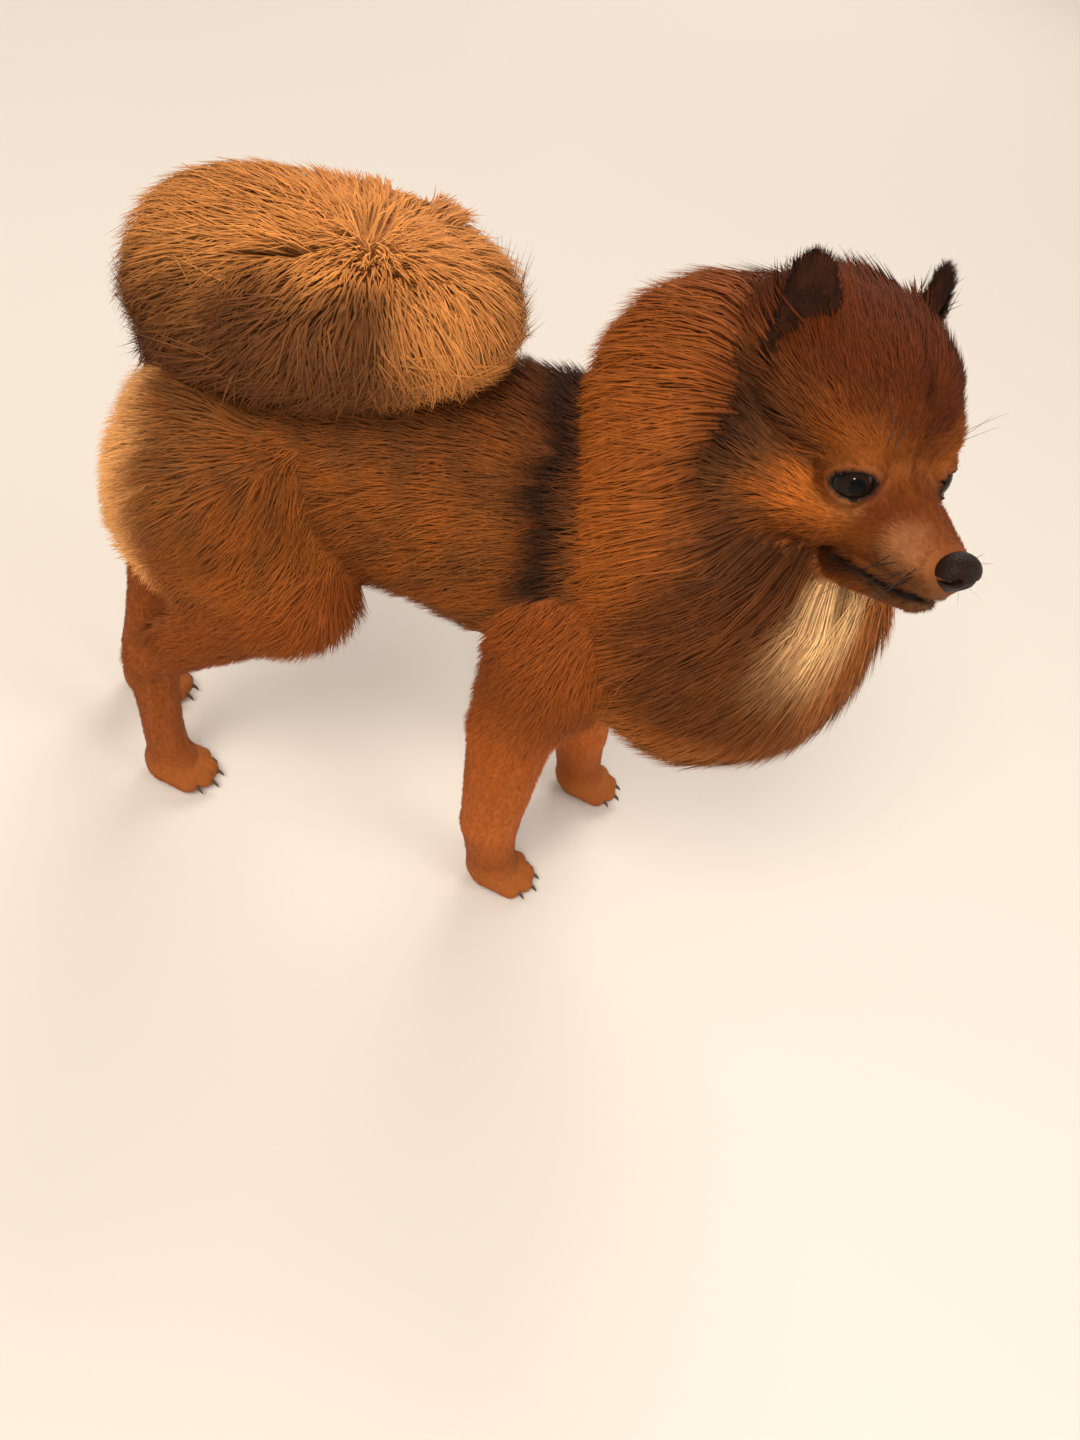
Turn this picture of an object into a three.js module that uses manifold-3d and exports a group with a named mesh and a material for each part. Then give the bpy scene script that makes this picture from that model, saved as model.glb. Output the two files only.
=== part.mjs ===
// A sable Pomeranian at life size, standing with its head turned to its right and its tail over its back.
// Lengths are in millimetres. +X runs along the body towards the chest, +Y to the dog's left and +Z up.
// Every form is a skin stretched over a soft field of balls and cones, and takes in the depth of the coat.
import * as THREE from "three";
import { mergeVertices } from "three/addons/utils/BufferGeometryUtils.js";
import Module from "manifold-3d";

const wasm = await Module();
wasm.setup();

// Driving dimensions of the stance
const GAP = 0.4; // left between touching nodes
const FORE_PAW = { right: [83, -36], left: [122, 44] }; // middle of each paw on the floor
const HIND_PAW = { right: [-98, -28], left: [-132, 25] };
const HOCK_BACK = { right: 13, left: 1 }; // how far the hock stands behind the paw

// The long hair: `core` is how far below the tips the solid middle of each form lies
const RUFF_LOCKS = { count: 82, length: 60, wide: 15, thick: 3.2, core: 13 };
const TAIL_LOCKS = { count: 54, length: 56, wide: 15, thick: 3, core: 11 };
const WHORL = new THREE.Vector3(-36, -28, 318);

// The head's own frame: its origin is midway between the eyes, with +X towards the nose
const EYES_MIDDLE = [153, -56, 314];
const HEAD_YAW = -60;
const HEAD_PITCH = 9;
const EYE_PLACE = [-2, 15.5, -1.5];
const EYE_RADIUS = 9.2;
const LID = { thick: 1.7, wide: 8.6, tall: 6.9, turn: 38 };
const MOUTH = { corner: [4, 0, -31], front: [36, 0, -25.5], groove: 1.1 };

const V = (x, y, z) => new THREE.Vector3(x, y, z);
const rad = THREE.MathUtils.degToRad;

// Parts of a field: each gives the distance from a point to its own surface, negative inside
function limb(a, b, ra, rb) {
  const along = b.clone().sub(a);
  const length2 = along.lengthSq();
  const q = V();
  return (p) => {
    const t = Math.min(1, Math.max(0, q.copy(p).sub(a).dot(along) / length2));
    return q.copy(along).multiplyScalar(t).add(a).distanceTo(p) - ra - (rb - ra) * t;
  };
}

function egg(centre, radii) {
  const q = V();
  return (p) => {
    q.copy(p).sub(centre).divide(radii);
    const k0 = q.length();
    const k1 = q.divide(radii).length();
    return k1 < 1e-9 ? -Math.min(...radii.toArray()) : (k0 * (k0 - 1)) / k1;
  };
}

// A chain of balls [x, y, z, radius], each joined to the next
function chain(balls) {
  const links = balls
    .slice(1)
    .map((b, i) => limb(V(...balls[i]), V(...b), balls[i][3], b[3]));
  return (p) => Math.min(...links.map((link) => link(p)));
}

// Joins fields with a fillet about `soft` wide
function blend(soft, ...fields) {
  return (p) =>
    fields
      .map((f) => f(p))
      .reduce((a, b) => {
        const h = Math.max(soft - Math.abs(a - b), 0) / soft;
        return Math.min(a, b) - (h * h * soft) / 4;
      });
}

// The same field, squeezed along a direction about a point
function squeezed(field, point, direction, share) {
  const q = V();
  return (p) => {
    const along = q.copy(p).sub(point).dot(direction);
    return field(q.copy(p).addScaledVector(direction, along * (1 / share - 1)));
  };
}

// The outward direction of a field at a point
function outward(field, p) {
  const step = 1.5;
  const slope = [V(step, 0, 0), V(0, step, 0), V(0, 0, step)].map(
    (d) => field(p.clone().add(d)) - field(p.clone().sub(d)),
  );
  return V(...slope).normalize();
}

// The same point, moved along the outward direction until the field there has the level
function settled(field, p, level) {
  const q = p.clone();
  for (let i = 0; i < 3; i += 1) q.addScaledVector(outward(field, q), level - field(q));
  return q;
}

const REACH = 150;
const MARCH = 3;

// How far a ray runs from inside the field to its surface
function reachOf(field, from, direction, grow) {
  const p = V();
  const at = (s) => field(p.copy(direction).multiplyScalar(s).add(from)) - grow;
  let far = MARCH;
  while (far < REACH && at(far) < 0) far += MARCH;
  let near = far - MARCH;
  for (let i = 0; i < 18; i += 1) {
    const middle = (near + far) / 2;
    if (at(middle) < 0) near = middle;
    else far = middle;
  }
  return near;
}

// A closed skin over a field: rings of points round a spine inside it, with a rounded cap at each end
function skinOver(field, spine, { rings = 10, sides = 16, cap = 4, up = V(0, 0, 1), grow = 0 }) {
  const curve = new THREE.CatmullRomCurve3(spine.map((s) => V(...s)));
  const stations = [];
  for (let i = 1; i < cap; i += 1) stations.push([0, (i / cap - 1) * 90]);
  for (let i = 0; i <= rings; i += 1) stations.push([i / rings, 0]);
  for (let i = 1; i < cap; i += 1) stations.push([1, (i / cap) * 90]);
  const points = [];
  const push = (from, direction) => {
    const s = reachOf(field, from, direction, grow);
    points.push(...direction.clone().multiplyScalar(s).add(from).toArray());
  };
  push(curve.getPointAt(0), curve.getTangentAt(0).negate());
  for (const [t, tip] of stations) {
    const from = curve.getPointAt(t);
    const tangent = curve.getTangentAt(t);
    const side = V().crossVectors(up, tangent).normalize();
    const top = V().crossVectors(tangent, side);
    for (let j = 0; j < sides; j += 1) {
      const angle = (j / sides) * 2 * Math.PI;
      const out = side.clone().multiplyScalar(Math.cos(angle)).addScaledVector(top, Math.sin(angle));
      push(from, out.multiplyScalar(Math.cos(rad(tip))).addScaledVector(tangent, Math.sin(rad(tip))));
    }
  }
  push(curve.getPointAt(1), curve.getTangentAt(1));
  const index = [];
  const last = points.length / 3 - 1;
  for (let j = 0; j < sides; j += 1) {
    const k = (j + 1) % sides;
    index.push(0, 1 + k, 1 + j);
    for (let i = 0; i < stations.length - 1; i += 1) {
      const a = 1 + i * sides;
      const b = a + sides;
      index.push(a + j, a + k, b + j, a + k, b + k, b + j);
    }
    const end = 1 + (stations.length - 1) * sides;
    index.push(last, end + j, end + k);
  }
  const geometry = new THREE.BufferGeometry();
  geometry.setAttribute("position", new THREE.Float32BufferAttribute(points, 3));
  geometry.setIndex(index);
  return geometry;
}

// Solids for joining and cutting
function solid(geometry) {
  const bare = geometry.clone();
  bare.deleteAttribute("normal");
  bare.deleteAttribute("uv");
  const merged = mergeVertices(bare, 1e-4);
  return new wasm.Manifold(
    new wasm.Mesh({
      numProp: 3,
      vertProperties: merged.attributes.position.array,
      triVerts: new Uint32Array(merged.index.array),
    }),
  );
}

// A tube through the points with a flat cap at each end
function closedTube(points, radius, sides) {
  const tube = new THREE.TubeGeometry(new THREE.CatmullRomCurve3(points), points.length - 1, radius, sides);
  const ends = [points[0], points[points.length - 1]];
  const place = [...tube.attributes.position.array, ...ends.flatMap((p) => p.toArray())];
  const index = [...tube.index.array];
  const first = tube.attributes.position.count;
  const ring = (points.length - 1) * (sides + 1);
  for (let j = 0; j < sides; j += 1) index.push(first, j, j + 1, first + 1, ring + j + 1, ring + j);
  const geometry = new THREE.BufferGeometry();
  geometry.setAttribute("position", new THREE.Float32BufferAttribute(place, 3));
  geometry.setIndex(index);
  return solid(geometry);
}

const cutBy = (body, ...cutters) => cutters.reduce((a, c) => a.subtract(c), body);
const joined = (first, ...others) => others.reduce((a, o) => a.add(o), first);

function bare(manifold) {
  const mesh = manifold.getMesh();
  const geometry = new THREE.BufferGeometry();
  geometry.setAttribute("position", new THREE.BufferAttribute(mesh.vertProperties, 3));
  geometry.setIndex(new THREE.BufferAttribute(mesh.triVerts, 1));
  return geometry;
}

// The largest closed surface of a solid, without slivers: loose scraps go and sealed hollows fill
const FINENESS = 0.12;
const largest = (manifold) => manifold.decompose().sort((a, b) => b.volume() - a.volume())[0];
function geometryOf(manifold) {
  let geometry = bare(largest(manifold.simplify(FINENESS)));
  for (let again = solid(geometry); again.decompose().length > 1; again = solid(geometry)) {
    geometry = bare(largest(again));
  }
  return geometry;
}

// Everything below the floor
const FLOOR_BLOCK = new THREE.BoxGeometry(900, 900, 100).translate(0, 0, -50);
const floor = solid(FLOOR_BLOCK);

// The trunk, from the rump to the front of the chest
const trunkField = squeezed(
  chain([
    [-95, 0, 203, 40],
    [-70, 0, 212, 54],
    [-30, 0, 217, 59],
    [10, 0, 216, 61],
    [50, 0, 213, 67],
    [85, 0, 208, 70],
    [112, 0, 206, 54],
  ]),
  V(0, 0, 0),
  V(0, 1, 0),
  0.83,
);
const trunk = (grow = 0) =>
  solid(
    skinOver(trunkField, [[-97, 0, 203], [-30, 0, 215], [50, 0, 212], [112, 0, 206]], {
      rings: 10,
      sides: 18,
      grow,
    }),
  );

// Limb joints of one side: `out` is -1 on the right and 1 on the left
function foreJoints(side) {
  const out = side === "right" ? -1 : 1;
  const [x, y] = FORE_PAW[side];
  return {
    paw: [x, y, 12],
    wrist: [x - 13, y, 48],
    elbow: [x * 0.5 + 22, out * 39, 126],
    shoulder: [x * 0.3 + 50, out * 35, 188],
  };
}

function hindJoints(side) {
  const out = side === "right" ? -1 : 1;
  const [x, y] = HIND_PAW[side];
  return {
    paw: [x, y, 12],
    instep: [x - 7, y, 34],
    hock: [x - HOCK_BACK[side], y * 1.1, 88],
    knee: [x * 0.5 + 4, out * 41, 168],
    hip: [-78, out * 27, 206],
  };
}

const ball = (point, radius) => [...point, radius];

const foreLegField = (j) => chain([ball(j.shoulder, 42), ball(j.elbow, 25), ball(j.wrist, 17)]);
const thighField = (j) =>
  blend(14, chain([ball(j.hip, 50), ball(j.knee, 27)]), egg(V(j.hip[0] - 8, j.hip[1], 180), V(46, 32, 46)));
const shankField = (j) => chain([ball(j.knee, 25), ball(j.hock, 14)]);

// A foot: pastern, pad and four toes that spread a little
const TOES = [
  [10, -9.5, -1.5],
  [16, -3.5, 0],
  [16, 3.5, 0],
  [10, 9.5, -1.5],
];
const TOE_RADIUS = 6.4;
function pawField(middle) {
  const [x, y] = middle;
  const toes = TOES.map(([tx, ty]) => limb(V(x - 4, y + ty * 0.7, 10), V(x + tx, y + ty, 6.2), 8, TOE_RADIUS));
  return blend(3, egg(V(x - 3, y, 11), V(14, 13, 12)), ...toes);
}
const foreFootField = (j) => blend(6, chain([ball(j.wrist, 16.5), [j.paw[0] - 5, j.paw[1], 15, 13]]), pawField(j.paw));
const hindFootField = (j) =>
  blend(6, chain([ball(j.hock, 14), ball(j.instep, 11.5), [j.paw[0] - 3, j.paw[1], 14, 11]]), pawField(j.paw));

const CLAW = { radius: 1.6, length: 8 };
function claws(middle) {
  return TOES.map(([tx, ty, tz]) =>
    solid(
      new THREE.ConeGeometry(CLAW.radius, CLAW.length, 6)
        .rotateZ(-Math.PI / 2)
        .rotateY(rad(24))
        .translate(middle[0] + tx + 6.5, middle[1] + ty * 1.05, 5 + tz * 0.3),
    ),
  );
}

// The head in its own frame, with the short fur of the face and the longer fur of the cheeks
const MUZZLE_TIP = 40;
const headField = blend(
  9,
  egg(V(-36, 0, 12), V(43, 35.5, 36)),
  limb(V(-6, 0, -12), V(MUZZLE_TIP - 6, 0, -15), 19, 10.5),
  limb(V(-8, 13, 10), V(-6, 15, 9), 10, 9),
  limb(V(-8, -13, 10), V(-6, -15, 9), 10, 9),
  limb(V(-34, 22, -18), V(-10, 15, -18), 24, 13),
  limb(V(-34, -22, -18), V(-10, -15, -18), 24, 13),
);
const jawField = limb(V(-16, 0, -36), V(MUZZLE_TIP - 10, 0, -28), 13, 7);
const HEAD_SPINE = [[-44, 0, 4], [-20, 0, 0], [4, 0, -11], [MUZZLE_TIP - 6, 0, -16]];

const faceField = blend(4, headField, jawField);
const headBody = (grow = 0) => solid(skinOver(faceField, HEAD_SPINE, { rings: 16, sides: 22, cap: 4, grow }));

const sphere = (radius, centre, detail = 12) =>
  solid(new THREE.SphereGeometry(radius, detail, Math.round(detail * 0.7)).translate(...centre));

const eyeAt = (out) => [EYE_PLACE[0], out * EYE_PLACE[1], EYE_PLACE[2]];

// The lids are a shell round the eye, and the space between them is an egg turned the way the eye looks
const lidShell = (out, grow = 0) => sphere(EYE_RADIUS + GAP + LID.thick + grow, eyeAt(out), 14);
function lidOpening(out) {
  const egg = new THREE.SphereGeometry(1, 14, 8).scale(14, LID.wide, LID.tall).translate(EYE_RADIUS + 7, 0, 0);
  return solid(egg.rotateX(rad(out * -8)).rotateZ(rad(out * LID.turn)).translate(...eyeAt(out)));
}

// A thin tube laid along the surface of the face, from one corner of the mouth round the front to the other
function mouthLine(radius) {
  const steps = 16;
  const points = [];
  for (let i = 0; i <= steps; i += 1) {
    const t = (i / steps) * 2 - 1;
    const bow = 1 - Math.abs(t) ** 1.6;
    const x = MOUTH.corner[0] + (MOUTH.front[0] - MOUTH.corner[0]) * bow;
    const z = MOUTH.corner[2] + (MOUTH.front[2] - MOUTH.corner[2]) * bow;
    const from = V(Math.min(x, MUZZLE_TIP - 10), 0, z);
    const aim = V(Math.max(0, x - MUZZLE_TIP + 14) / 14, t * 2.2, 0).normalize();
    points.push(aim.multiplyScalar(reachOf(faceField, from, aim, 0)).add(from));
  }
  return closedTube(points, radius, 4);
}

// An ear: a rounded triangle that faces forward and outward, and the cup in its front
const EAR = { base: [-37, 24, 26], tip: [-40, 28.5, 47], wide: 16, point: 9, flat: 0.6, face: 38, cup: 7 };
function earParts(out) {
  const base = V(EAR.base[0], out * EAR.base[1], EAR.base[2]);
  const tip = V(EAR.tip[0], out * EAR.tip[1], EAR.tip[2]);
  const facing = V(Math.cos(rad(EAR.face)), out * Math.sin(rad(EAR.face)), 0.15).normalize();
  const form = (wide, point) => squeezed(limb(base, tip, wide, point), base, facing, EAR.flat);
  return { base, tip, facing, field: form(EAR.wide, EAR.point), cup: form(EAR.wide - 4, EAR.point - 2.6) };
}
const earSkin = (field, part, grow) =>
  solid(skinOver(field, [part.base, part.base.clone().lerp(part.tip, 0.5), part.tip], { rings: 6, sides: 14, cap: 3, up: part.facing, grow }));
function ear(out, grow = 0) {
  const part = earParts(out);
  return earSkin(part.field, part, grow);
}
function earCup(out) {
  const part = earParts(out);
  return earSkin(part.cup, part, 0).translate(part.facing.clone().multiplyScalar(EAR.cup).toArray());
}

const noseField = blend(3, egg(V(MUZZLE_TIP + 1, 0, -11.5), V(6.5, 8.2, 6)), egg(V(MUZZLE_TIP - 2, 0, -15), V(6, 6, 6)));
const NOSE_SPINE = [[MUZZLE_TIP - 3, 0, -12], [MUZZLE_TIP + 2, 0, -12]];
const nose = (grow = 0) => solid(skinOver(noseField, NOSE_SPINE, { rings: 3, sides: 12, cap: 3, grow }));
const nostril = (out) =>
  solid(
    new THREE.SphereGeometry(1, 8, 5)
      .scale(4.2, 1.5, 2)
      .rotateZ(rad(out * 34))
      .translate(MUZZLE_TIP + 5, out * 4.3, -12.6),
  );

// The head's frame in the dog's
const headGroup = new THREE.Group();
headGroup.name = "head_frame";
headGroup.position.set(...EYES_MIDDLE);
headGroup.rotation.set(0, -rad(HEAD_PITCH), rad(HEAD_YAW), "ZYX");
headGroup.updateMatrix();
const inHeadFrame = (p) => V(...p).applyMatrix4(headGroup.matrix).toArray();
function headInDogFrame(manifold) {
  return solid(geometryOf(manifold).applyMatrix4(headGroup.matrix));
}

// The neck with the long ruff round it, hanging to the chest
const NAPE = inHeadFrame([-58, 0, -14]);
const ruffField = blend(
  30,
  limb(V(102, 2, 283), V(NAPE[0] - 6, NAPE[1] + 8, NAPE[2] - 3), 49, 51),
  limb(V(96, 2, 236), V(102, 2, 283), 48, 49),
  limb(V(NAPE[0], NAPE[1] - 4, NAPE[2] - 34), V(138, -18, 203), 64, 58),
  egg(V(124, -12, 215), V(66, 72, 78)),
);
const RUFF_SPINE = [[90, 2, 258], [110, -4, 238], [132, -14, 212]];

// The tail, rooted on the croup and curled forward over the back
const TAIL_ROOT = [-104, 0, 246];
const tailField = blend(
  24,
  egg(V(-70, -8, 280), V(59, 53, 37)),
  egg(V(-32, -3, 291), V(53, 54, 33)),
  limb(V(...TAIL_ROOT), V(-84, -3, 284), 25, 30),
);
const TAIL_SPINE = [[-98, -5, 278], [-62, -7, 285], [-18, -4, 291]];

// A number from 0 to 1 that is the same in every run
let seed = 15;
function draw() {
  seed = (seed * 16807) % 2147483647;
  return seed / 2147483647;
}
const between = (low, high) => low + (high - low) * draw();

// A flat lock with four sides that tapers to a point: its root is in the core and its tip on the outer form
function lock(path, normals, wide, thick) {
  const points = [];
  path.slice(0, -1).forEach((p, i) => {
    const along = path[i + 1].clone().sub(path[Math.max(0, i - 1)]).normalize();
    const side = V().crossVectors(normals[i], along).normalize();
    const up = V().crossVectors(along, side);
    for (const [w, t] of [[1, 0], [0, 1], [-1, 0], [0, -1]]) {
      const q = p.clone().addScaledVector(side, w * wide[i]).addScaledVector(up, t * thick[i]);
      points.push(...q.toArray());
    }
  });
  points.push(...path[path.length - 1].toArray());
  const last = path.length - 2;
  const index = [0, 2, 1, 0, 3, 2];
  for (let j = 0; j < 4; j += 1) {
    const k = (j + 1) % 4;
    for (let i = 0; i < last; i += 1) {
      const a = i * 4;
      index.push(a + j, a + k, a + 4 + j, a + k, a + 4 + k, a + 4 + j);
    }
    index.push(last * 4 + j, last * 4 + k, (last + 1) * 4);
  }
  const geometry = new THREE.BufferGeometry();
  geometry.setAttribute("position", new THREE.Float32BufferAttribute(points, 3));
  geometry.setIndex(index);
  return solid(geometry);
}

// Locks spread evenly over a form: each walks along the lie and rises from the core to the outer form
function locks(form, { count, centre, length, wide, thick, core, lie, allowed, clear }) {
  const made = [];
  for (let i = 0; i < count; i += 1) {
    const height = 1 - (2 * (i + 0.5)) / count;
    const turn = i * Math.PI * (3 - Math.sqrt(5));
    const ring = Math.sqrt(1 - height * height);
    const direction = V(ring * Math.cos(turn), ring * Math.sin(turn), height);
    const surface = direction.clone().multiplyScalar(reachOf(form, centre, direction, 0)).add(centre);
    const reach = between(0.85, 1.15) * length;
    const levels = [-core - 8, -core * 0.5, -core * 0.15, between(0, 3)];
    let p = surface.clone().addScaledVector(lie(surface), -reach * 0.4);
    const path = [];
    for (const level of levels) {
      let q = settled(form, p, level);
      if (path.length > 0 && clear(q) < 2.5) q = settled(clear, q, 2.5);
      path.push(q);
      const lean = lie(q).addScaledVector(V(between(-1, 1), between(-1, 1), between(-1, 1)), 0.12);
      p = q.clone().addScaledVector(lean, reach / 3);
    }
    const normals = path.map((q) => outward(form, q));
    if (!allowed(surface, path)) continue;
    const spread = between(0.85, 1.15);
    made.push(
      lock(path, normals, [wide * 0.7, wide, wide * 0.72].map((w) => w * spread), [thick, thick * 0.9, thick * 0.6]),
    );
  }
  return made;
}

// Named nodes
const FINISH = {
  coat: { color: "#9c5a28", roughness: 0.85 },
  ruff: { color: "#8a5630", roughness: 0.9 },
  plume: { color: "#c98d52", roughness: 0.9 },
  legs: { color: "#a8622c", roughness: 0.85 },
  ear_fur: { color: "#3c2416", roughness: 0.9 },
  eye: { color: "#1a0f0a", roughness: 0.08 },
  nose: { color: "#15110f", roughness: 0.35 },
};
const materials = Object.fromEntries(
  Object.entries(FINISH).map(([name, look]) => [name, new THREE.MeshStandardMaterial({ metalness: 0, ...look })]),
);

const dog = new THREE.Group();
dog.add(headGroup);
function node(name, manifold, finish, parent = dog) {
  const mesh = new THREE.Mesh(geometryOf(manifold), materials[finish]);
  mesh.name = name;
  parent.add(mesh);
  return mesh;
}

const torso = trunk();
const torsoGrown = trunk(GAP);
node("torso", torso, "coat");

const shoulders = [];
for (const side of ["right", "left"]) {
  const j = foreJoints(side);
  const leg = (grow) =>
    solid(skinOver(foreLegField(j), [j.shoulder, j.elbow, j.wrist], { rings: 8, sides: 14, up: V(1, 0, 0), grow }));
  const foot = solid(
    skinOver(foreFootField(j), [[j.wrist[0], j.wrist[1], 42], [j.paw[0] - 4, j.paw[1], 14], [j.paw[0] + 8, j.paw[1], 8]], {
      rings: 8,
      sides: 16,
      up: V(0, 1, 0),
    }),
  );
  node("fore_leg_" + side, cutBy(leg(0), torsoGrown), "legs");
  node("fore_paw_" + side, cutBy(joined(foot, ...claws(j.paw)), leg(GAP), floor), "legs");
  shoulders.push(leg(GAP));
}

const haunches = [];
for (const side of ["right", "left"]) {
  const j = hindJoints(side);
  const thigh = (grow) => solid(skinOver(thighField(j), [j.hip, j.knee], { rings: 6, sides: 16, grow }));
  const shank = (grow) => solid(skinOver(shankField(j), [j.knee, j.hock], { rings: 5, sides: 12, grow }));
  const foot = solid(
    skinOver(
      hindFootField(j),
      [[j.hock[0], j.hock[1], 80], j.instep, [j.paw[0] - 2, j.paw[1], 13], [j.paw[0] + 8, j.paw[1], 8]],
      { rings: 9, sides: 16, up: V(0, 1, 0) },
    ),
  );
  node("thigh_" + side, cutBy(thigh(0), torsoGrown, ...haunches), "coat");
  node("shank_" + side, cutBy(shank(0), thigh(GAP), torsoGrown), "legs");
  node("hind_paw_" + side, cutBy(joined(foot, ...claws(j.paw)), shank(GAP), thigh(GAP), floor), "legs");
  haunches.push(thigh(GAP));
}

node("eye_right", sphere(EYE_RADIUS, eyeAt(-1)), "eye", headGroup);
node("eye_left", sphere(EYE_RADIUS, eyeAt(1)), "eye", headGroup);
const eyesGrown = [-1, 1].map((out) => sphere(EYE_RADIUS + GAP, eyeAt(out)));
node("nose", cutBy(nose(), nostril(-1), nostril(1)), "nose", headGroup);
const lids = [-1, 1].map((out) => lidShell(out));
const openings = [-1, 1].map(lidOpening);
const head = cutBy(joined(headBody(), ...lids), ...eyesGrown, ...openings, nose(GAP), mouthLine(MOUTH.groove));
node("head", head, "coat", headGroup);
for (const [side, out] of [["right", -1], ["left", 1]]) {
  node("ear_" + side, cutBy(ear(out), earCup(out), headBody(GAP)), "ear_fur", headGroup);
}
const grownParts = [-1, 1].flatMap((out) => [lidShell(out, GAP), ear(out, GAP)]);
const headGrown = headInDogFrame(joined(headBody(GAP), ...grownParts));

// The head's field in the dog's frame, with the ears
const toHead = headGroup.matrix.clone().invert();
const wholeHead = [faceField, earParts(-1).field, earParts(1).field];
const headInPlace = (p) => Math.min(...wholeHead.map((f) => f(p.clone().applyMatrix4(toHead))));
const legFields = ["right", "left"].map((side) => foreLegField(foreJoints(side)));
const thighFields = ["right", "left"].map((side) => thighField(hindJoints(side)));

// The ruff's hair runs away from the face, back over the neck and down the chest
const FACE = V(...inHeadFrame([-20, 0, 0]));
const tangential = (form, p, aim) => {
  const n = outward(form, p);
  return aim.addScaledVector(n, -aim.dot(n)).normalize();
};
const ruffLie = (p) => tangential(ruffField, p, p.clone().sub(FACE).normalize().add(V(-0.75, 0, -0.45)));
const roundRuff = (p) => Math.min(trunkField(p), headInPlace(p), ...legFields.map((f) => f(p)));
const ruffLocks = locks(ruffField, {
  ...RUFF_LOCKS,
  centre: V(118, -12, 236),
  lie: ruffLie,
  clear: roundRuff,
  allowed: (surface, path) => roundRuff(surface) > -6 && path[3].distanceTo(path[1]) > 14,
});
const ruffCore = solid(skinOver(ruffField, RUFF_SPINE, { rings: 6, sides: 20, cap: 5, grow: -RUFF_LOCKS.core }));
node("neck_ruff", cutBy(joined(ruffCore, ...ruffLocks), headGrown, torsoGrown, ...shoulders), "ruff");

// The tail's hair spreads from a whorl on its top
const tailLie = (p) => tangential(tailField, p, p.clone().sub(WHORL));
const roundTail = (p) => Math.min(trunkField(p), ...thighFields.map((f) => f(p)));
const tailLocks = locks(tailField, {
  ...TAIL_LOCKS,
  centre: V(-54, -6, 285),
  lie: tailLie,
  clear: roundTail,
  allowed: (surface, path) => roundTail(surface) > 3 && path[3].distanceTo(path[1]) > 14,
});
const tailCore = solid(skinOver(tailField, TAIL_SPINE, { rings: 6, sides: 18, cap: 4, grow: -TAIL_LOCKS.core }));
node("tail", cutBy(joined(tailCore, ...tailLocks), torsoGrown, ...haunches), "plume");

// The origin is the middle of the box round the dog, on the floor
const box = new THREE.Box3().setFromObject(dog, true);
const middle = box.getCenter(V());
dog.position.set(-middle.x, -middle.y, -box.min.z);

export default dog;
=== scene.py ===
"""A life-size sable Pomeranian: one skin under a coat of solid tufts, with eyes, nose and claws apart."""
import math
from types import SimpleNamespace

import bmesh
import bpy
import numpy as np
from bpy.props import FloatProperty, FloatVectorProperty, IntProperty, PointerProperty
from mathutils import Matrix, Vector


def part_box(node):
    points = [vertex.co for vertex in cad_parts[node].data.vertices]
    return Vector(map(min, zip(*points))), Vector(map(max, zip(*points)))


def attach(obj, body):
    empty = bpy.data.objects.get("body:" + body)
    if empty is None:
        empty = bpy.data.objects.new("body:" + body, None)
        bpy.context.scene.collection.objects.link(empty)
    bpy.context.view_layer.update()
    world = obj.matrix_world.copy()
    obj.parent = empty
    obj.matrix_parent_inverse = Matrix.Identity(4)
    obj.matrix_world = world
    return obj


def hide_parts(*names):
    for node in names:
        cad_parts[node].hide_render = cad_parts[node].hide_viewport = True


bl_info = {
    "name": "Pomeranian",
    "version": (1, 0, 0),
    "blender": (4, 5, 0),
    "location": "View3D > Sidebar > Dog",
    "description": "A life-size Pomeranian with a coat of solid tufts",
    "category": "Add Mesh",
}

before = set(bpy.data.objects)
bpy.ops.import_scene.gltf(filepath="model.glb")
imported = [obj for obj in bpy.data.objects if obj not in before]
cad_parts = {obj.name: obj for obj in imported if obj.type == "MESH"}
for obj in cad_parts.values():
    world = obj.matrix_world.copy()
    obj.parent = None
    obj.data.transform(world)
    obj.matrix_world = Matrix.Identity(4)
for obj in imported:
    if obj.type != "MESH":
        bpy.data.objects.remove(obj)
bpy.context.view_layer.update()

# Places and radii are in millimetres in the dog's own frame, as in the part's source.
# The paws' places on the floor, and how far each hock is behind its paw
SIDES = ("right", "left")
FORE_PAW = {"right": (83, -36), "left": (122, 44)}
HIND_PAW = {"right": (-98, -28), "left": (-132, 25)}
HOCK_BACK = {"right": 13, "left": 1}

# The head's place and turn, and then places in its own frame: +X to the nose, +Y to its left
EYES_MIDDLE = np.array([153.0, -56.0, 314.0])
HEAD_YAW = math.radians(-60)
HEAD_PITCH = math.radians(9)
EYE_PLACE = (-2.0, 15.5, -1.5)
EYE_RADIUS = 9.2
LIDS_TURN = math.radians(38)
LIDS = (6.5, 4.5)
LID_THICKNESS = 1.5
SOCKET_DEPTH = 3.5
MUZZLE_TIP = 40.0

# The middle of the whorl on the tail, and how far the skin stays over the floor
WHORL = np.array([-38.0, -18.0, 318.0])
FLOOR_GAP = 0.4


def head_turn(yaw, pitch):
    """The head's rotation: pitch, and then yaw"""
    cy, sy = math.cos(yaw), math.sin(yaw)
    cp, sp = math.cos(pitch), math.sin(pitch)
    about_z = np.array([[cy, -sy, 0], [sy, cy, 0], [0, 0, 1]])
    about_y = np.array([[cp, 0, -sp], [0, 1, 0], [sp, 0, cp]])
    return about_z @ about_y


HEAD_TURN = head_turn(HEAD_YAW, HEAD_PITCH)


def in_dog(p):
    """From the head's frame to the dog's"""
    return np.asarray(p, float) @ HEAD_TURN.T + EYES_MIDDLE


def in_head(p):
    """From the dog's frame to the head's"""
    return (p - EYES_MIDDLE) @ HEAD_TURN


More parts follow.
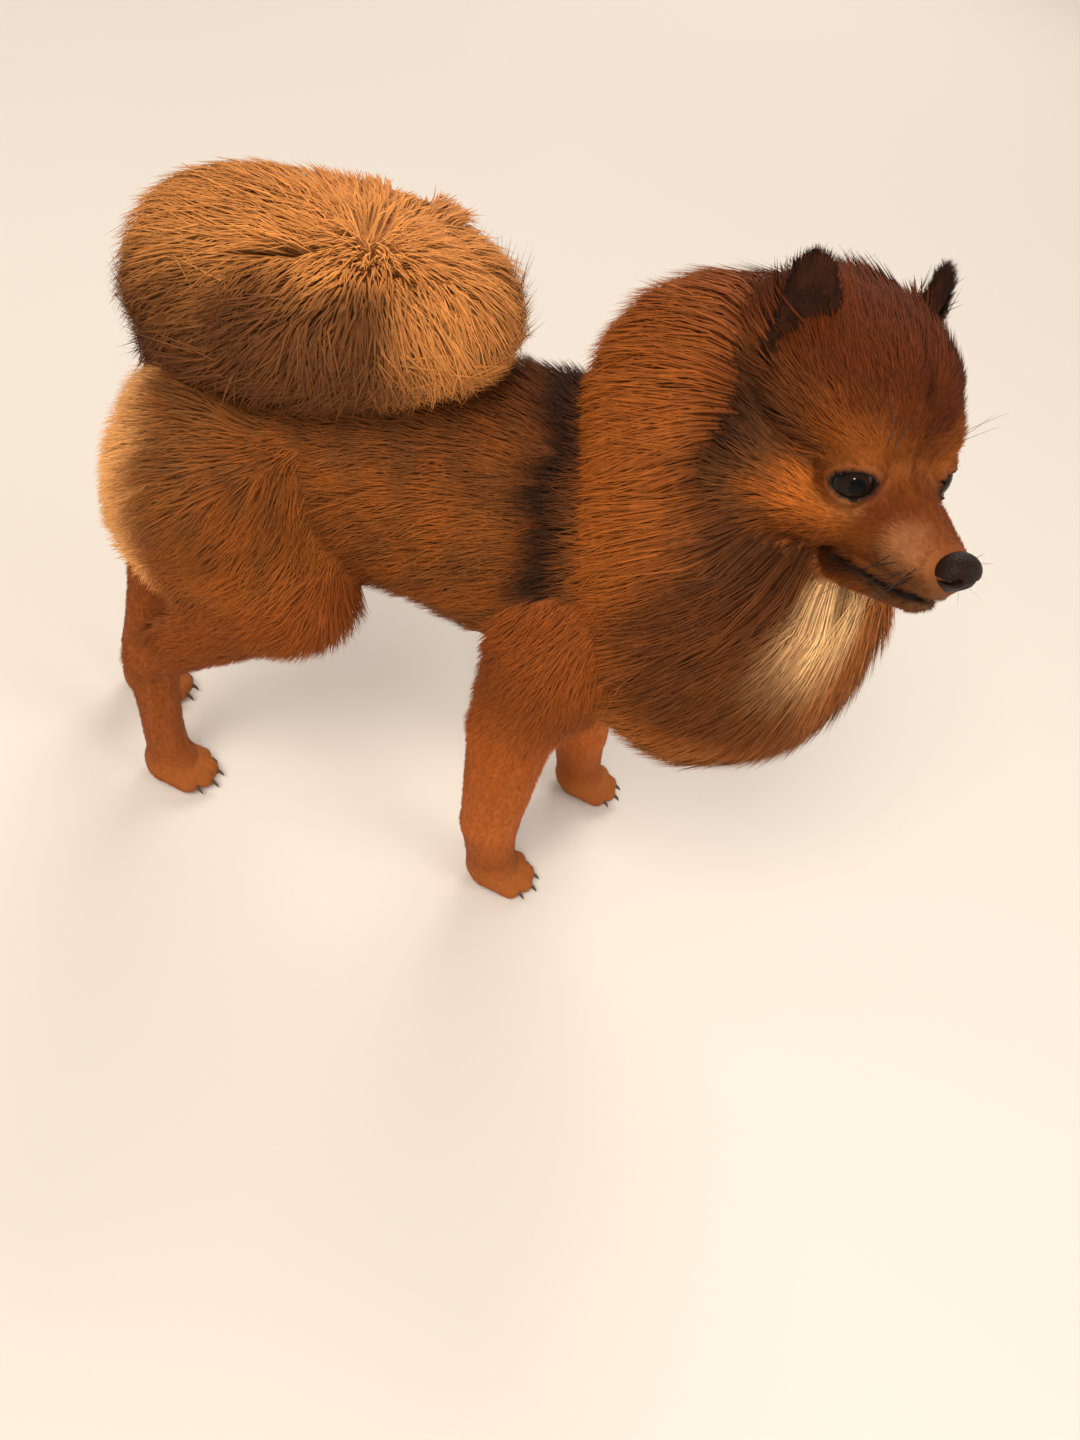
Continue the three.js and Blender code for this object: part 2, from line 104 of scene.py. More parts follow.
def eye_at(out):
    """Middle of the right eye (out -1) or the left one (1), in the head's frame"""
    return np.array([EYE_PLACE[0], out * EYE_PLACE[1], EYE_PLACE[2]])


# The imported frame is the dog's, shifted: the right eye's box tells by how much
low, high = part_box("eye_right")
SHIFT = np.array((Vector(low) + Vector(high)) / 2) * 1000 - in_dog(eye_at(-1))


# Fields: each gives the distance from points to a surface, negative inside
def limb(a, b, ra, rb):
    """A round bar from a to b, whose radius goes from ra to rb"""
    a, b = np.asarray(a, float), np.asarray(b, float)
    along = b - a
    long2 = float(along @ along)

    def field(p):
        t = np.clip((p - a) @ along / long2, 0, 1)
        return np.linalg.norm(p - a - t[:, None] * along, axis=1) - ra - (rb - ra) * t

    return field


def egg(centre, radii):
    """An ellipsoid"""
    centre, radii = np.asarray(centre, float), np.asarray(radii, float)

    def field(p):
        q = (p - centre) / radii
        k0 = np.linalg.norm(q, axis=1)
        k1 = np.linalg.norm(q / radii, axis=1)
        return k0 * (k0 - 1) / np.maximum(k1, 1e-6)

    return field


def chain(balls):
    """Bars from ball to ball, each ball given as x, y, z and radius"""
    links = [limb(a[:3], b[:3], a[3], b[3]) for a, b in zip(balls, balls[1:])]

    def field(p):
        return np.minimum.reduce([f(p) for f in links])

    return field


def smooth_min(a, b, soft):
    """The lesser of two distances, rounded where they are closer than soft"""
    h = np.maximum(soft - np.abs(a - b), 0) / soft
    return np.minimum(a, b) - h * h * soft / 4


def blend(soft, *fields):
    """Several forms as one, rounded where they are closer than soft"""
    def field(p):
        d = fields[0](p)
        for f in fields[1:]:
            d = smooth_min(d, f(p), soft)
        return d

    return field


def squeezed(field, point, direction, share):
    """A field flattened along a direction to a share of its depth"""
    point, direction = np.asarray(point, float), np.asarray(direction, float)

    def result(p):
        along = (p - point) @ direction
        return field(p + along[:, None] * direction * (1 / share - 1))

    return result


def gradient(field, p, step=1.0):
    """Unit vectors that point out of a field's surface"""
    g = np.empty_like(p)
    for k in range(3):
        d = np.zeros(3)
        d[k] = step
        g[:, k] = field(p + d) - field(p - d)
    return g / np.maximum(np.linalg.norm(g, axis=1), 1e-9)[:, None]


def unit(v):
    """Each row as a unit vector"""
    return v / np.maximum(np.linalg.norm(v, axis=1), 1e-9)[:, None]


# The trunk and the limbs, as wide as the tips of the coat
trunk = squeezed(
    chain([(-95, 0, 203, 40), (-70, 0, 212, 54), (-30, 0, 217, 59), (10, 0, 216, 61),
           (50, 0, 213, 67), (85, 0, 208, 70), (112, 0, 206, 54)]),
    (0, 0, 0), (0, 1, 0), 0.83,
)


def fore_joints(side):
    """Places of a fore leg's joints, from where its paw stands"""
    out = -1 if side == "right" else 1
    x, y = FORE_PAW[side]
    return {"paw": (x, y, 12), "wrist": (x - 13, y, 48), "elbow": (x * 0.5 + 22, out * 39, 126),
            "shoulder": (x * 0.3 + 50, out * 35, 188)}


def hind_joints(side):
    """Places of a hind leg's joints, from where its paw stands"""
    out = -1 if side == "right" else 1
    x, y = HIND_PAW[side]
    return {"paw": (x, y, 12), "instep": (x - 7, y, 34), "hock": (x - HOCK_BACK[side], y * 1.1, 88),
            "knee": (x * 0.5 + 4, out * 41, 168), "hip": (-78, out * 27, 206)}


# Each toe's tip from the middle of its paw
TOES = ((10, -9.5), (16, -3.5), (16, 3.5), (10, 9.5))


def paw(middle):
    """A pad with four toes"""
    x, y = middle[:2]
    toes = [limb((x - 4, y + ty * 0.7, 10), (x + tx, y + ty, 6.2), 8, 6.4) for tx, ty in TOES]
    return blend(3, egg((x - 3, y, 11), (14, 13, 12)), *toes)


def fore_leg(side):
    """The leg down to the wrist, and the foot"""
    j = fore_joints(side)
    x, y, _ = j["paw"]
    upper = chain([(*j["shoulder"], 42), (*j["elbow"], 25), (*j["wrist"], 17)])
    pastern = chain([(*j["wrist"], 16.5), (x - 5, y, 15, 13)])
    return upper, blend(6, pastern, paw(j["paw"]))


def hind_leg(side):
    """The thigh, the shank down to the hock, and the foot"""
    j = hind_joints(side)
    x, y, _ = j["paw"]
    hip = j["hip"]
    buttock = egg((hip[0] - 8, hip[1], 180), (46, 32, 46))
    thigh = blend(14, chain([(*hip, 50), (*j["knee"], 27)]), buttock)
    shank = chain([(*j["knee"], 25), (*j["hock"], 14)])
    pastern = chain([(*j["hock"], 14), (*j["instep"], 11.5), (x - 3, y, 14, 11)])
    return thigh, shank, blend(6, pastern, paw(j["paw"]))


legs = {}
for side in SIDES:
    upper, foot = fore_leg(side)
    thigh, shank, hind_foot = hind_leg(side)
    legs[side] = {"fore": upper, "fore_foot": foot, "thigh": thigh, "shank": shank, "hind_foot": hind_foot}

nape = in_dog((-58, 0, -14))
ruff = blend(
    30,
    limb((102, 2, 283), nape + (-6, 8, -3), 49, 51),
    limb((96, 2, 236), (102, 2, 283), 48, 49),
    limb(nape + (0, -4, -34), (138, -18, 203), 64, 58),
    egg((124, -12, 215), (66, 72, 78)),
)
tail = blend(
    24,
    egg((-70, -8, 280), (59, 53, 37)),
    egg((-32, -3, 291), (53, 54, 33)),
    limb((-104, 0, 246), (-84, -3, 284), 25, 30),
)

# The face, in the head's frame
face = blend(
    9,
    egg((-36, 0, 12), (43, 35.5, 36)),
    limb((-6, 0, -12), (MUZZLE_TIP - 6, 0, -15), 19, 10.5),
    limb((-8, 13, 10), (-6, 15, 9), 10, 9),
    limb((-8, -13, 10), (-6, -15, 9), 10, 9),
    limb((-34, 22, -18), (-10, 15, -18), 24, 13),
    limb((-34, -22, -18), (-10, -15, -18), 24, 13),
)
jaw = limb((-16, 0, -36), (MUZZLE_TIP - 10, 0, -28), 13, 7)
nose_form = blend(
    2.5,
    egg((MUZZLE_TIP + 1, 0, -11.5), (6.5, 8.2, 6)),
    egg((MUZZLE_TIP - 2, 0, -15), (6, 6, 6)),
)

# Each ear's base, middle and tip, with y to its own side, and how far it faces out from straight ahead
EAR_BASE = (-37, 24, 26)
EAR_MIDDLE = (-38.0, 26, 34.0)
EAR_TIP = (-40, 28.5, 47)
EAR_FACE = math.radians(38)


def ear_forms(out):
    """An ear's outer form and the cup in its front"""
    base = np.array([EAR_BASE[0], out * EAR_BASE[1], EAR_BASE[2]], float)
    tip = np.array([EAR_TIP[0], out * EAR_TIP[1], EAR_TIP[2]], float)
    facing = np.array([math.cos(EAR_FACE), out * math.sin(EAR_FACE), 0.15])
    facing /= np.linalg.norm(facing)
    outer = squeezed(limb(base, tip, 14.5, 7.5), base, facing, 0.5)
    cup = squeezed(limb(base + facing * 7, tip + facing * 7, 12, 5.5), base + facing * 7, facing, 0.6)
    return outer, cup


ears = {out: ear_forms(out) for out in (-1, 1)}

# The labels of the skin's parts
(TRUNK, THIGH_RIGHT, THIGH_LEFT, FORE_RIGHT, FORE_LEFT, SHANK_RIGHT, SHANK_LEFT,
 FEET, RUFF, TAIL, HEAD, EARS) = range(12)
THIGHS = (THIGH_RIGHT, THIGH_LEFT)
SHANKS = (SHANK_RIGHT, SHANK_LEFT)
LEGS = (FORE_RIGHT, FORE_LEFT, *SHANKS)

# How deep the coat lies over the skin, and how softly a part flows into those before it
DEPTH = {"trunk": 7.0, "thigh": 6.5, "leg": 2.4, "shoulder": 8.0, "foot": 1.0, "ruff": 13.0, "tail": 11.0}
SOFT = {SHANK_RIGHT: 20, SHANK_LEFT: 20, FEET: 4, HEAD: 5, EARS: 3}
SOFT_ELSEWHERE = 8


def face_depth(h):
    """Short on the muzzle, longer over the cheeks and crown"""
    return 1.0 + 5.0 * np.clip((4 - h[:, 0]) / 36, 0, 1)


def lid_gap(h):
    """Negative inside the space between the lids of either eye"""
    wide, high = LIDS
    gaps = []
    for out in (-1, 1):
        q = h - eye_at(out)
        a = out * LIDS_TURN
        along = q[:, 0] * math.cos(a) + q[:, 1] * math.sin(a)
        side = -q[:, 0] * math.sin(a) + q[:, 1] * math.cos(a)
        up = q[:, 2] + side * out * 0.10
        gap = (np.sqrt((side / wide) ** 2 + (up / high) ** 2) - 1) * high
        gaps.append(np.where(along > 0, gap, 20.0))
    return np.minimum(*gaps)


def mouth_line(h):
    """Distance from the line between the lips"""
    back, front = 2, 36
    t = (np.clip(h[:, 0], back, front) - back) / (front - back)
    z = -31.5 + 5.5 * t ** 0.8 - 1.2 * np.sin(math.pi * t)
    away = np.maximum(back - h[:, 0], 0) + np.maximum(h[:, 0] - front - 2, 0)
    return np.sqrt((h[:, 2] - z) ** 2 + away ** 2)


def hump(x, width):
    """A smooth hump of height one at x = 0"""
    return np.exp(-((x / width) ** 2))


def head_skin(p):
    """The face with lids that wrap the eyes, the stop's furrow, and the lips"""
    h = in_head(p)
    x, y, _ = h.T
    d = smooth_min(face(h), jaw(h), 4) + face_depth(h)
    for out in (-1, 1):
        ball = np.linalg.norm(h - eye_at(out), axis=1) - EYE_RADIUS
        d = smooth_min(d, ball - LID_THICKNESS, 2.5)
        socket = np.maximum(lid_gap(h), ball - SOCKET_DEPTH)
        d = np.where(ball < 6, np.maximum(d, -socket), d)
    lips = mouth_line(h)
    furrow = 0.9 * hump(y, 2.2) * hump(x + 2, 12)
    gap = 1.3 * hump(lips, 1.1) * (x > -1)
    rims = 0.9 * hump(lips - 2.6, 1.6) * (x > 2)
    return d + furrow + gap - rims


def ear_skin(p):
    """Both ears, hollowed by their cups"""
    h = in_head(p)
    return np.minimum.reduce([np.maximum(outer(h) + 0.8, -cup(h)) for outer, cup in ears.values()])


def parts_at(p):
    """The skin's distance for each label, in the labels' order"""
    shoulder = np.interp(p[:, 2], [60, 190], [DEPTH["leg"], DEPTH["shoulder"]])
    ankle = np.clip((p[:, 2] - 25) / 25, 0, 1) * 1.2
    feet = [legs[s][k](p) for s in SIDES for k in ("fore_foot", "hind_foot")]
    return [
        trunk(p) + DEPTH["trunk"],
        *(legs[s]["thigh"](p) + DEPTH["thigh"] for s in SIDES),
        *(legs[s]["fore"](p) + shoulder for s in SIDES),
        *(legs[s]["shank"](p) + DEPTH["leg"] for s in SIDES),
        np.minimum.reduce(feet) + DEPTH["foot"] + ankle,
        ruff(p) + DEPTH["ruff"],
        tail(p) + DEPTH["tail"],
        head_skin(p),
        ear_skin(p),
    ]


def skin(p):
    """The whole skin, blended from the trunk out"""
    d, *others = parts_at(p)
    for label, part in enumerate(others, THIGH_RIGHT):
        d = smooth_min(d, part, SOFT.get(label, SOFT_ELSEWHERE))
    return np.maximum(d, FLOOR_GAP - p[:, 2])


def label_at(p):
    """The label of the part that each point is closest to"""
    return np.argmin(np.stack(parts_at(p)), axis=0)


def surface_net(field, low, high, step):
    """A mesh over the zero of a field: one point in each cell that the surface crosses"""
    low = np.asarray(low, float)
    n = np.ceil((np.asarray(high, float) - low) / step).astype(int) + 1
    axes = [low[k] + np.arange(n[k]) * step for k in range(3)]
    values = np.empty(n, np.float32)
    yy, zz = np.meshgrid(axes[1], axes[2], indexing="ij")
    slab = 24
    for i0 in range(0, n[0], slab):
        xs = axes[0][i0:i0 + slab]
        p = np.stack([np.repeat(xs, yy.size), np.tile(yy.ravel(), len(xs)), np.tile(zz.ravel(), len(xs))], 1)
        values[i0:i0 + slab] = field(p).reshape(len(xs), n[1], n[2])
    inside = values < 0
    total = int(np.prod(n))
    flat = np.arange(total).reshape(n)
    sums = np.zeros((total, 3))
    count = np.zeros(total)
    stride = (n[1] * n[2], n[2], 1)
    quads = []
    for k in range(3):
        a = [slice(1, -1)] * 3
        b = [slice(1, -1)] * 3
        a[k] = slice(0, -1)
        b[k] = slice(1, None)
        va, vb = values[tuple(a)], values[tuple(b)]
        cross = inside[tuple(a)] != inside[tuple(b)]
        at = np.argwhere(cross) + 1
        at[:, k] -= 1
        t = (va[cross] / (va[cross] - vb[cross]))[:, None]
        point = low + at * step
        point[:, k] += t[:, 0] * step
        cell = flat[tuple(a)][cross]
        u, v = stride[(k + 1) % 3], stride[(k + 2) % 3]
        ring = [cell, cell - u, cell - u - v, cell - v]
        for c in ring:
            for m in range(3):
                sums[:, m] += np.bincount(c, point[:, m], total)
            count += np.bincount(c, minlength=total)
        face = np.stack(ring, 1)
        flip = va[cross] > 0
        face[flip] = face[flip][:, ::-1]
        quads.append(face)
    quads = np.concatenate(quads)
    used = np.flatnonzero(count)
    new = np.full(total, -1)
    new[used] = np.arange(len(used))
    return sums[used] / count[used][:, None], new[quads]


def points_of(mesh):
    """The mesh's vertices in the dog's frame"""
    co = np.empty(len(mesh.vertices) * 3, np.float32)
    mesh.vertices.foreach_get("co", co)
    return co.reshape(-1, 3).astype(float) * 1000 - SHIFT


def set_points(mesh, p):
    """Moves the mesh's vertices to places in the dog's frame"""
    mesh.vertices.foreach_set("co", ((p + SHIFT) / 1000).astype(np.float32).ravel())


def whole_numbers(items, field, each=1):
    """One field of a mesh's loops, faces or triangles as an array"""
    values = np.empty(len(items) * each, np.int32)
    items.foreach_get(field, values)
    return values


def set_uv(mesh, uv):
    """Adds the UV map named OFBake, from one row for each corner"""
    layer = mesh.uv_layers.new(name="OFBake")
    layer.data.foreach_set("uv", np.clip(uv, 0, 1).astype(np.float32).ravel())


def build_mesh(name, points, faces):
    """A smooth mesh from arrays, with one row for each face"""
    mesh = bpy.data.meshes.new(name)
    mesh.vertices.add(len(points))
    set_points(mesh, points)
    mesh.loops.add(faces.size)
    mesh.loops.foreach_set("vertex_index", faces.astype(np.int32).ravel())
    mesh.polygons.add(len(faces))
    mesh.polygons.foreach_set("loop_start", np.arange(0, faces.size, faces.shape[1], dtype=np.int32))
    mesh.polygons.foreach_set("use_smooth", np.ones(len(faces), bool))
    mesh.update(calc_edges=True)
    mesh.validate()
    return mesh


def link(name, data):
    """A new object in the scene"""
    obj = bpy.data.objects.new(name, data)
    bpy.context.collection.objects.link(obj)
    return obj


def keep(obj, slot, *nodes):
    """The piece rides on the one body and stands for these CAD nodes; its slot is not used"""
    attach(obj, "root")
    if nodes:
        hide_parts(*nodes)


# The unwrap: each form has its own rectangle (left, low, width, height) and an axis from point to point.
# The way round the axis goes across the rectangle and the way along it goes up.
SHEETS = {
    TRUNK: ((0.0, 0.0, 0.40, 0.40), (-135, 0, 210), (150, 0, 210)),
    THIGH_RIGHT: ((0.40, 0.0, 0.20, 0.25), (-80, -30, 250), (-80, -50, 130)),
    THIGH_LEFT: ((0.60, 0.0, 0.20, 0.25), (-80, 30, 250), (-80, 50, 130)),
    FORE_RIGHT: ((0.80, 0.0, 0.10, 0.25), (60, -36, 230), (72, -36, 40)),
    FORE_LEFT: ((0.90, 0.0, 0.10, 0.25), (88, 40, 230), (110, 44, 40)),
    SHANK_RIGHT: ((0.80, 0.25, 0.10, 0.15), (-40, -42, 180), (-112, -30, 80)),
    SHANK_LEFT: ((0.90, 0.25, 0.10, 0.15), (-55, 42, 180), (-145, 27, 80)),
    FEET: ((0.40, 0.25, 0.40, 0.15), (-150, 0, 100), (150, 0, 0)),
    RUFF: ((0.0, 0.40, 0.40, 0.35), (100, 10, 350), (138, -20, 120)),
    TAIL: ((0.40, 0.40, 0.35, 0.30), (-140, -8, 286), (30, -6, 290)),
    HEAD: ((0.0, 0.75, 0.45, 0.25), (86, 50, 318), (180, -100, 310)),
    EARS: ((0.75, 0.40, 0.25, 0.30), (86, 20, 340), (160, -60, 340)),
}


def unwrap(p, label):
    """UV of points whose labels are given"""
    uv = np.zeros((len(p), 2))
    for k, ((u0, v0, du, dv), a, b) in SHEETS.items():
        m = label == k
        if not m.any():
            continue
        a, b = np.array(a, float), np.array(b, float)
        axis = b - a
        length = np.linalg.norm(axis)
        axis /= length
        helper = np.array([0, 0, 1.0]) if abs(axis[2]) < 0.7 else np.array([1.0, 0, 0])
        side = np.cross(helper, axis)
        side /= np.linalg.norm(side)
        top = np.cross(axis, side)
        q = p[m] - a
        turn = np.arctan2(q @ side, -(q @ top)) / (2 * math.pi) + 0.5
        along = np.clip((q @ axis) / length * 0.94 + 0.03, 0, 1)
        uv[m, 0] = u0 + du * (0.01 + 0.98 * turn)
        uv[m, 1] = v0 + dv * along
    return uv


# Markings: linear colours, as functions of the place on the dog
def rgb(text):
    """Linear colour of an sRGB value"""
    c = np.array([int(text[i:i + 2], 16) for i in (0, 2, 4)]) / 255
    return np.where(c < 0.04045, c / 12.92, ((c + 0.055) / 1.055) ** 2.4)


# The coat's colours, with the places that each is used in
PALETTE = {
    "orange": ("b06426", "Trunk, cheeks and the sides of the ruff"),
    "tan": ("c87c3a", "Chest and paws"),
    "cream": ("d8a066", "Rear edge and under the lids"),
    "plume": ("d08e4e", "Tail"),
    "leg": ("b8662a", "Legs"),
    "white": ("f0c894", "Throat"),
    "rust": ("7c3c16", "Crown and nape"),
    # Umber also paints the shadow in the ruff's crease and part of the shade under the tail's lower edge
    "umber": ("482612", "Dark hair of the tail, ruff and muzzle"),
    "grey": ("6c5030", "Rump and chin"),
    "black": ("1a0f0a", "Saddle band, lips, lids and ears"),
    "blaze": ("b47e58", "Side of the muzzle"),
}
WARMTH = np.array((1.0, 0.88, 0.76))


def palette():
    """The coat's colours as the panel has them"""
    settings = bpy.context.scene.dog
    return SimpleNamespace(**{name: np.array(getattr(settings, name)) for name in PALETTE})


def spot(p, centre, radii, edge):
    """One inside an ellipsoid and nothing outside, with a soft edge"""
    d = np.linalg.norm((p - np.asarray(centre, float)) / np.asarray(radii, float), axis=1)
    return np.clip((1 - d) / edge + 0.5, 0, 1)


def ramp(x, low, high):
    """Nothing below low and one above high"""
    t = np.clip((x - low) / (high - low), 0, 1)
    return t * t * (3 - 2 * t)


def fall(x, high, low):
    """One below low and nothing above high"""
    return ramp(-x, -high, -low)


def mix(a, b, share):
    """From colour a towards b: the share is one number, or one for each row"""
    return a + (b - a) * np.reshape(share, (-1, 1))


def layered(colour, layers):
    """A colour with each layer's colour mixed over it by the layer's share"""
    for shade, share in layers:
        colour = mix(colour, shade, share)
    return colour


def noise(p, scale, seed):
    """Smooth noise from a few crossed waves, mostly from -1 to 1"""
    rng = np.random.default_rng(seed)
    total = np.zeros(len(p))
    for _ in range(6):
        k = rng.normal(size=3)
        k *= rng.uniform(0.6, 1.7) / np.linalg.norm(k) / scale
        total += np.sin(p @ k * 2 * math.pi + rng.uniform(0, 6.28))
    return total / 3.2


def sable(p, label, c, wave, fine):
    """Trunk and thighs: a dark saddle band behind the ruff, grey hair at the rump and a pale rear edge"""
    x, y, z = p.T
    patches = noise(p, 17, 11)
    height = z - 215
    band = hump(x + 0.16 * height - 57 + wave * 0.5, 12 - 0.05 * height) * ramp(z, 175, 205)
    rump = spot(p, (-98, -46, 235), (26, 40, 42), 0.7) + spot(p, (-98, 46, 235), (26, 40, 42), 0.7)
    rump = np.clip(rump + 0.7 * spot(p, (-55, 0, 262), (60, 62, 24), 0.8), 0, 1)
    root = layered(c.orange * 0.74, (
        (c.grey * 0.8, 0.3 + 0.22 * patches),
        (c.umber * 1.3, 0.55 * ramp(z + wave, 232, 268) * ramp(x + wave, -100, -60)),
        (c.orange * 0.8, 0.6 * np.isin(label, THIGHS) * fall(z, 215, 190)),
        (c.black * 1.1 + c.grey * 0.04, 0.97 * band * (label != RUFF)),
        (c.grey * 1.15, 0.5 * rump * (0.75 + 0.25 * fine)),
        (c.cream * 1.4, 0.92 * fall(x + wave * 0.5, -93, -108) * ramp(z, 120, 165)),
        (c.grey, 0.35 * ramp(x, -20, 20) * fall(z, 185, 160) * (label == TRUNK)),
    ))
    return root, mix(root * 1.14, c.umber, 0.3 * ramp(patches, -0.1, 0.9) * (x > -100))


def tan_legs(p, c):
    """Legs: darker low down, at the shoulders and behind, with paler toes"""
    x, _, z = p.T
    fur = layered(c.leg * 0.95, (
        (c.leg * 0.62, fall(z, 60, 20)),
        (c.leg * 0.6, np.clip(ramp(z, 120, 165) + fall(x, 0, -40), 0, 1)),
        (c.tan * 0.7, 0.4 * fall(z, 22, 12)),
    ))
    return fur, fur * 1.1


def pale_plume(p, c, wave):
    """The tail: pale round the whorl, with a dark fringe low down and on its right side, partly dark hair and
    partly painted shade under its lower edge
    """
    x, y, z = p.T
    away = np.linalg.norm((p - WHORL) * (1, 1, 0.7), axis=1)
    pale = mix(c.plume * 0.96, c.plume * 0.8, ramp(away + wave, 20, 75))
    # The dark fringe is partly dark hair and partly painted shade, low on the tail and on its right side
    dark_fringe_and_shade = np.maximum(fall(z + wave, 296, 268), fall(y - wave, -38, -56))
    dark_fringe_and_shade = dark_fringe_and_shade * (0.4 + 0.6 * fall(x - wave, 0, -30))
    return mix(pale * 0.95, c.umber, 0.75 * dark_fringe_and_shade), mix(pale * 1.1, c.umber * 0.9, 0.92 * dark_fringe_and_shade)


def collar(p, c, wave, fine):
    """The ruff: orange sides, a rusty nape, grizzled below the cheek, a painted shadow in the crease under
    its upper lobe on the right side, and a white throat
    """
    x, y, z = p.T
    lower = fall(z - wave, 290, 264) * ramp(z, 176, 200) * ramp(x - 0.1 * (z - 228) + wave, 76, 92)
    # Painted shadow: nearly black in the crease under the ruff's upper lobe, on the right side only
    painted_crease_shadow = spot(p, (103, -50, 308), (17, 22, 20), 0.7) + spot(p, (95, -55, 288), (15, 22, 17), 0.8)
    painted_crease_shadow = painted_crease_shadow + 0.6 * spot(p, (116, -74, 264), (24, 18, 16), 0.9)
    throat = spot(p, (157, -73, 246), (17, 22, 23), 0.6)
    fur = layered(c.orange * 0.6, (
        (c.rust * 0.72, 0.8 * ramp(z + wave, 280, 315)),
        (c.orange * 0.7, 0.85 * fall(x - wave, 90, 70) * ramp(z, 205, 235)),
        (mix(c.grey * 0.5, c.umber, 0.4 + 0.4 * fine), 0.85 * lower * (0.7 + 0.3 * fine)),
        (c.tan * 0.55, 0.85 * fall(z - wave, 190, 170)),
        (c.umber * 0.16, 0.94 * np.clip(painted_crease_shadow, 0, 1)),
        (c.tan * 1.05, 0.8 * spot(p, (172, -48, 228), (34, 36, 40), 0.7)),
        (c.white * 1.1, throat),
    ))
    return fur, mix(fur * 1.12, c.umber * 0.8, 0.35 * lower * (1 - throat) + 0.2 * ramp(z, 290, 330))


# Spots on each side of the face: colour, its strength, share, centre, radii and edge
FACE_SPOTS = (
    ("umber", 0.3, 0.9, (-33, 42, -2), (12, 15, 16), 0.8),
    ("orange", 0.66, 0.8, (2, 17, 9), (12, 9, 6.5), 1.0),
    ("cream", 0.6, 0.5, (4, 19, -10), (9, 7, 4), 0.9),
    ("orange", 1.2, 0.6, (-3, 22, -12), (10, 9, 6), 0.8),
    ("rust", 0.7, 0.7, (14, 12, -6), (9, 7, 8), 0.7),
)


def face_sides(h, c):
    """Layers of the spots by each eye, and of the dark streak from its outer corner"""
    x, y, z = h.T
    streak = hump(z - 2 + (8 + x) * 0.15, 1.6) * fall(x, -8, -12) * ramp(x, -42, -24)
    layers = []
    for out in (-1, 1):
        for name, strength, share, (along, across, up), radii, edge in FACE_SPOTS:
            shade = getattr(c, name) * strength
            layers.append((shade, share * spot(h, (along, out * across, up), radii, edge)))
        layers.append((c.umber * 0.5, 0.75 * streak * (out * y > 8)))
    return layers


def mask(p, c):
    """The head: a rusty crown, orange cheeks, a grizzled muzzle with its blaze, and dark lips and lids"""
    h = in_head(p)
    x, y, z = h.T
    wave = noise(h, 14, 9)
    muzzle = ramp(x, 12, 22)
    lips = hump(mouth_line(h), 2.2 + 2.2 * fall(x, 16, 0)) * (x > -3)
    rim = hump(np.maximum(lid_gap(h), 0), 1.5)
    fur = layered(c.rust * 0.46, (
        (c.rust * 0.95, 0.45 * ramp(wave, 0, 1) * ramp(z, 20, 40)),
        (c.orange * 0.5, fall(z - wave * 4, 26, -2)),
        (c.orange * 0.84, 0.8 * fall(z, -2, -16) * fall(x, 8, -12)),
        (mix(c.umber * 1.15, c.grey * 0.7, 0.4), 0.85 * fall(x - wave * 4, -6, -22) * fall(z, 24, 6)),
        *face_sides(h, c),
        (mix(c.umber * 1.5, c.grey * 1.2, 0.4), 0.8 * muzzle * fall(z, -10, -20)),
        (c.rust * 0.8, 0.6 * muzzle * ramp(z, -12, -4)),
        (c.blaze, 0.66 * spot(h, (28, -9, -12), (8, 7, 7.5), 0.9) * (0.8 + 0.2 * wave)),
        (c.black * 0.5, np.clip(lips * 1.15, 0, 1)),
        (c.umber * 0.6, 0.75 * spot(h, (-8, 0, -33), (17, 60, 11), 0.9) * (np.abs(y) > 8)),
        (c.grey * 0.9, 0.6 * fall(z, -33, -38) * ramp(x, 14, 24)),
        (c.black * 0.35, np.clip(rim * 1.2, 0, 1)),
        (c.umber * 0.6, 0.6 * fall(x, -34, -44) * ramp(z, 16, 28)),
        (c.umber * 0.6, 0.55 * hump(y, 1.6) * ramp(x, -24, -6) * fall(x, 22, 8)),
    ))
    return fur, fur * 1.15


def velvet(c, fine):
    """The ears, nearly black"""
    fur = mix(c.black * 1.2, c.umber * 0.9, 0.4 + 0.3 * fine)
    return fur, fur * 1.1


def paint(p, label):
    """Root and tip colours of the coat"""
    c = palette()
    wave = noise(p, 34, 3) * 6
    fine = noise(p, 9, 5)
    root, tip = sable(p, label, c, wave, fine)
    for labels, (at_root, at_tip) in (
        ((*LEGS, FEET), tan_legs(p, c)),
        (TAIL, pale_plume(p, c, wave)),
        (RUFF, collar(p, c, wave, fine)),
        (HEAD, mask(p, c)),
        (EARS, velvet(c, fine)),
    ):
        m = np.isin(label, labels)
        root[m] = at_root[m]
        tip[m] = at_tip[m]
    return np.clip(root * WARMTH, 0, 1), np.clip(tip * WARMTH, 0, 1)


def colour_attribute(mesh, colours):
    """The painted colour of each vertex, which the materials read"""
    attribute = mesh.color_attributes.new("Coat", "FLOAT_COLOR", "POINT")
    rgba = np.concatenate([colours, np.ones((len(colours), 1))], 1)
    attribute.data.foreach_set("color", rgba.astype(np.float32).ravel())


# Materials
def new_material(name):
    """An empty material with one shader"""
    m = bpy.data.materials.new(name)
    m.use_nodes = True
    m.node_tree.nodes.clear()
    out = add(m.node_tree, "OutputMaterial")
    shader = add(m.node_tree, "BsdfPrincipled")
    m.node_tree.links.new(shader.outputs["BSDF"], out.inputs["Surface"])
    return m, m.node_tree, shader


def set_inputs(node, **values):
    """Sets inputs of a node, where an underscore stands for a space in an input's name"""
    for name, value in values.items():
        node.inputs[name.replace("_", " ")].default_value = value


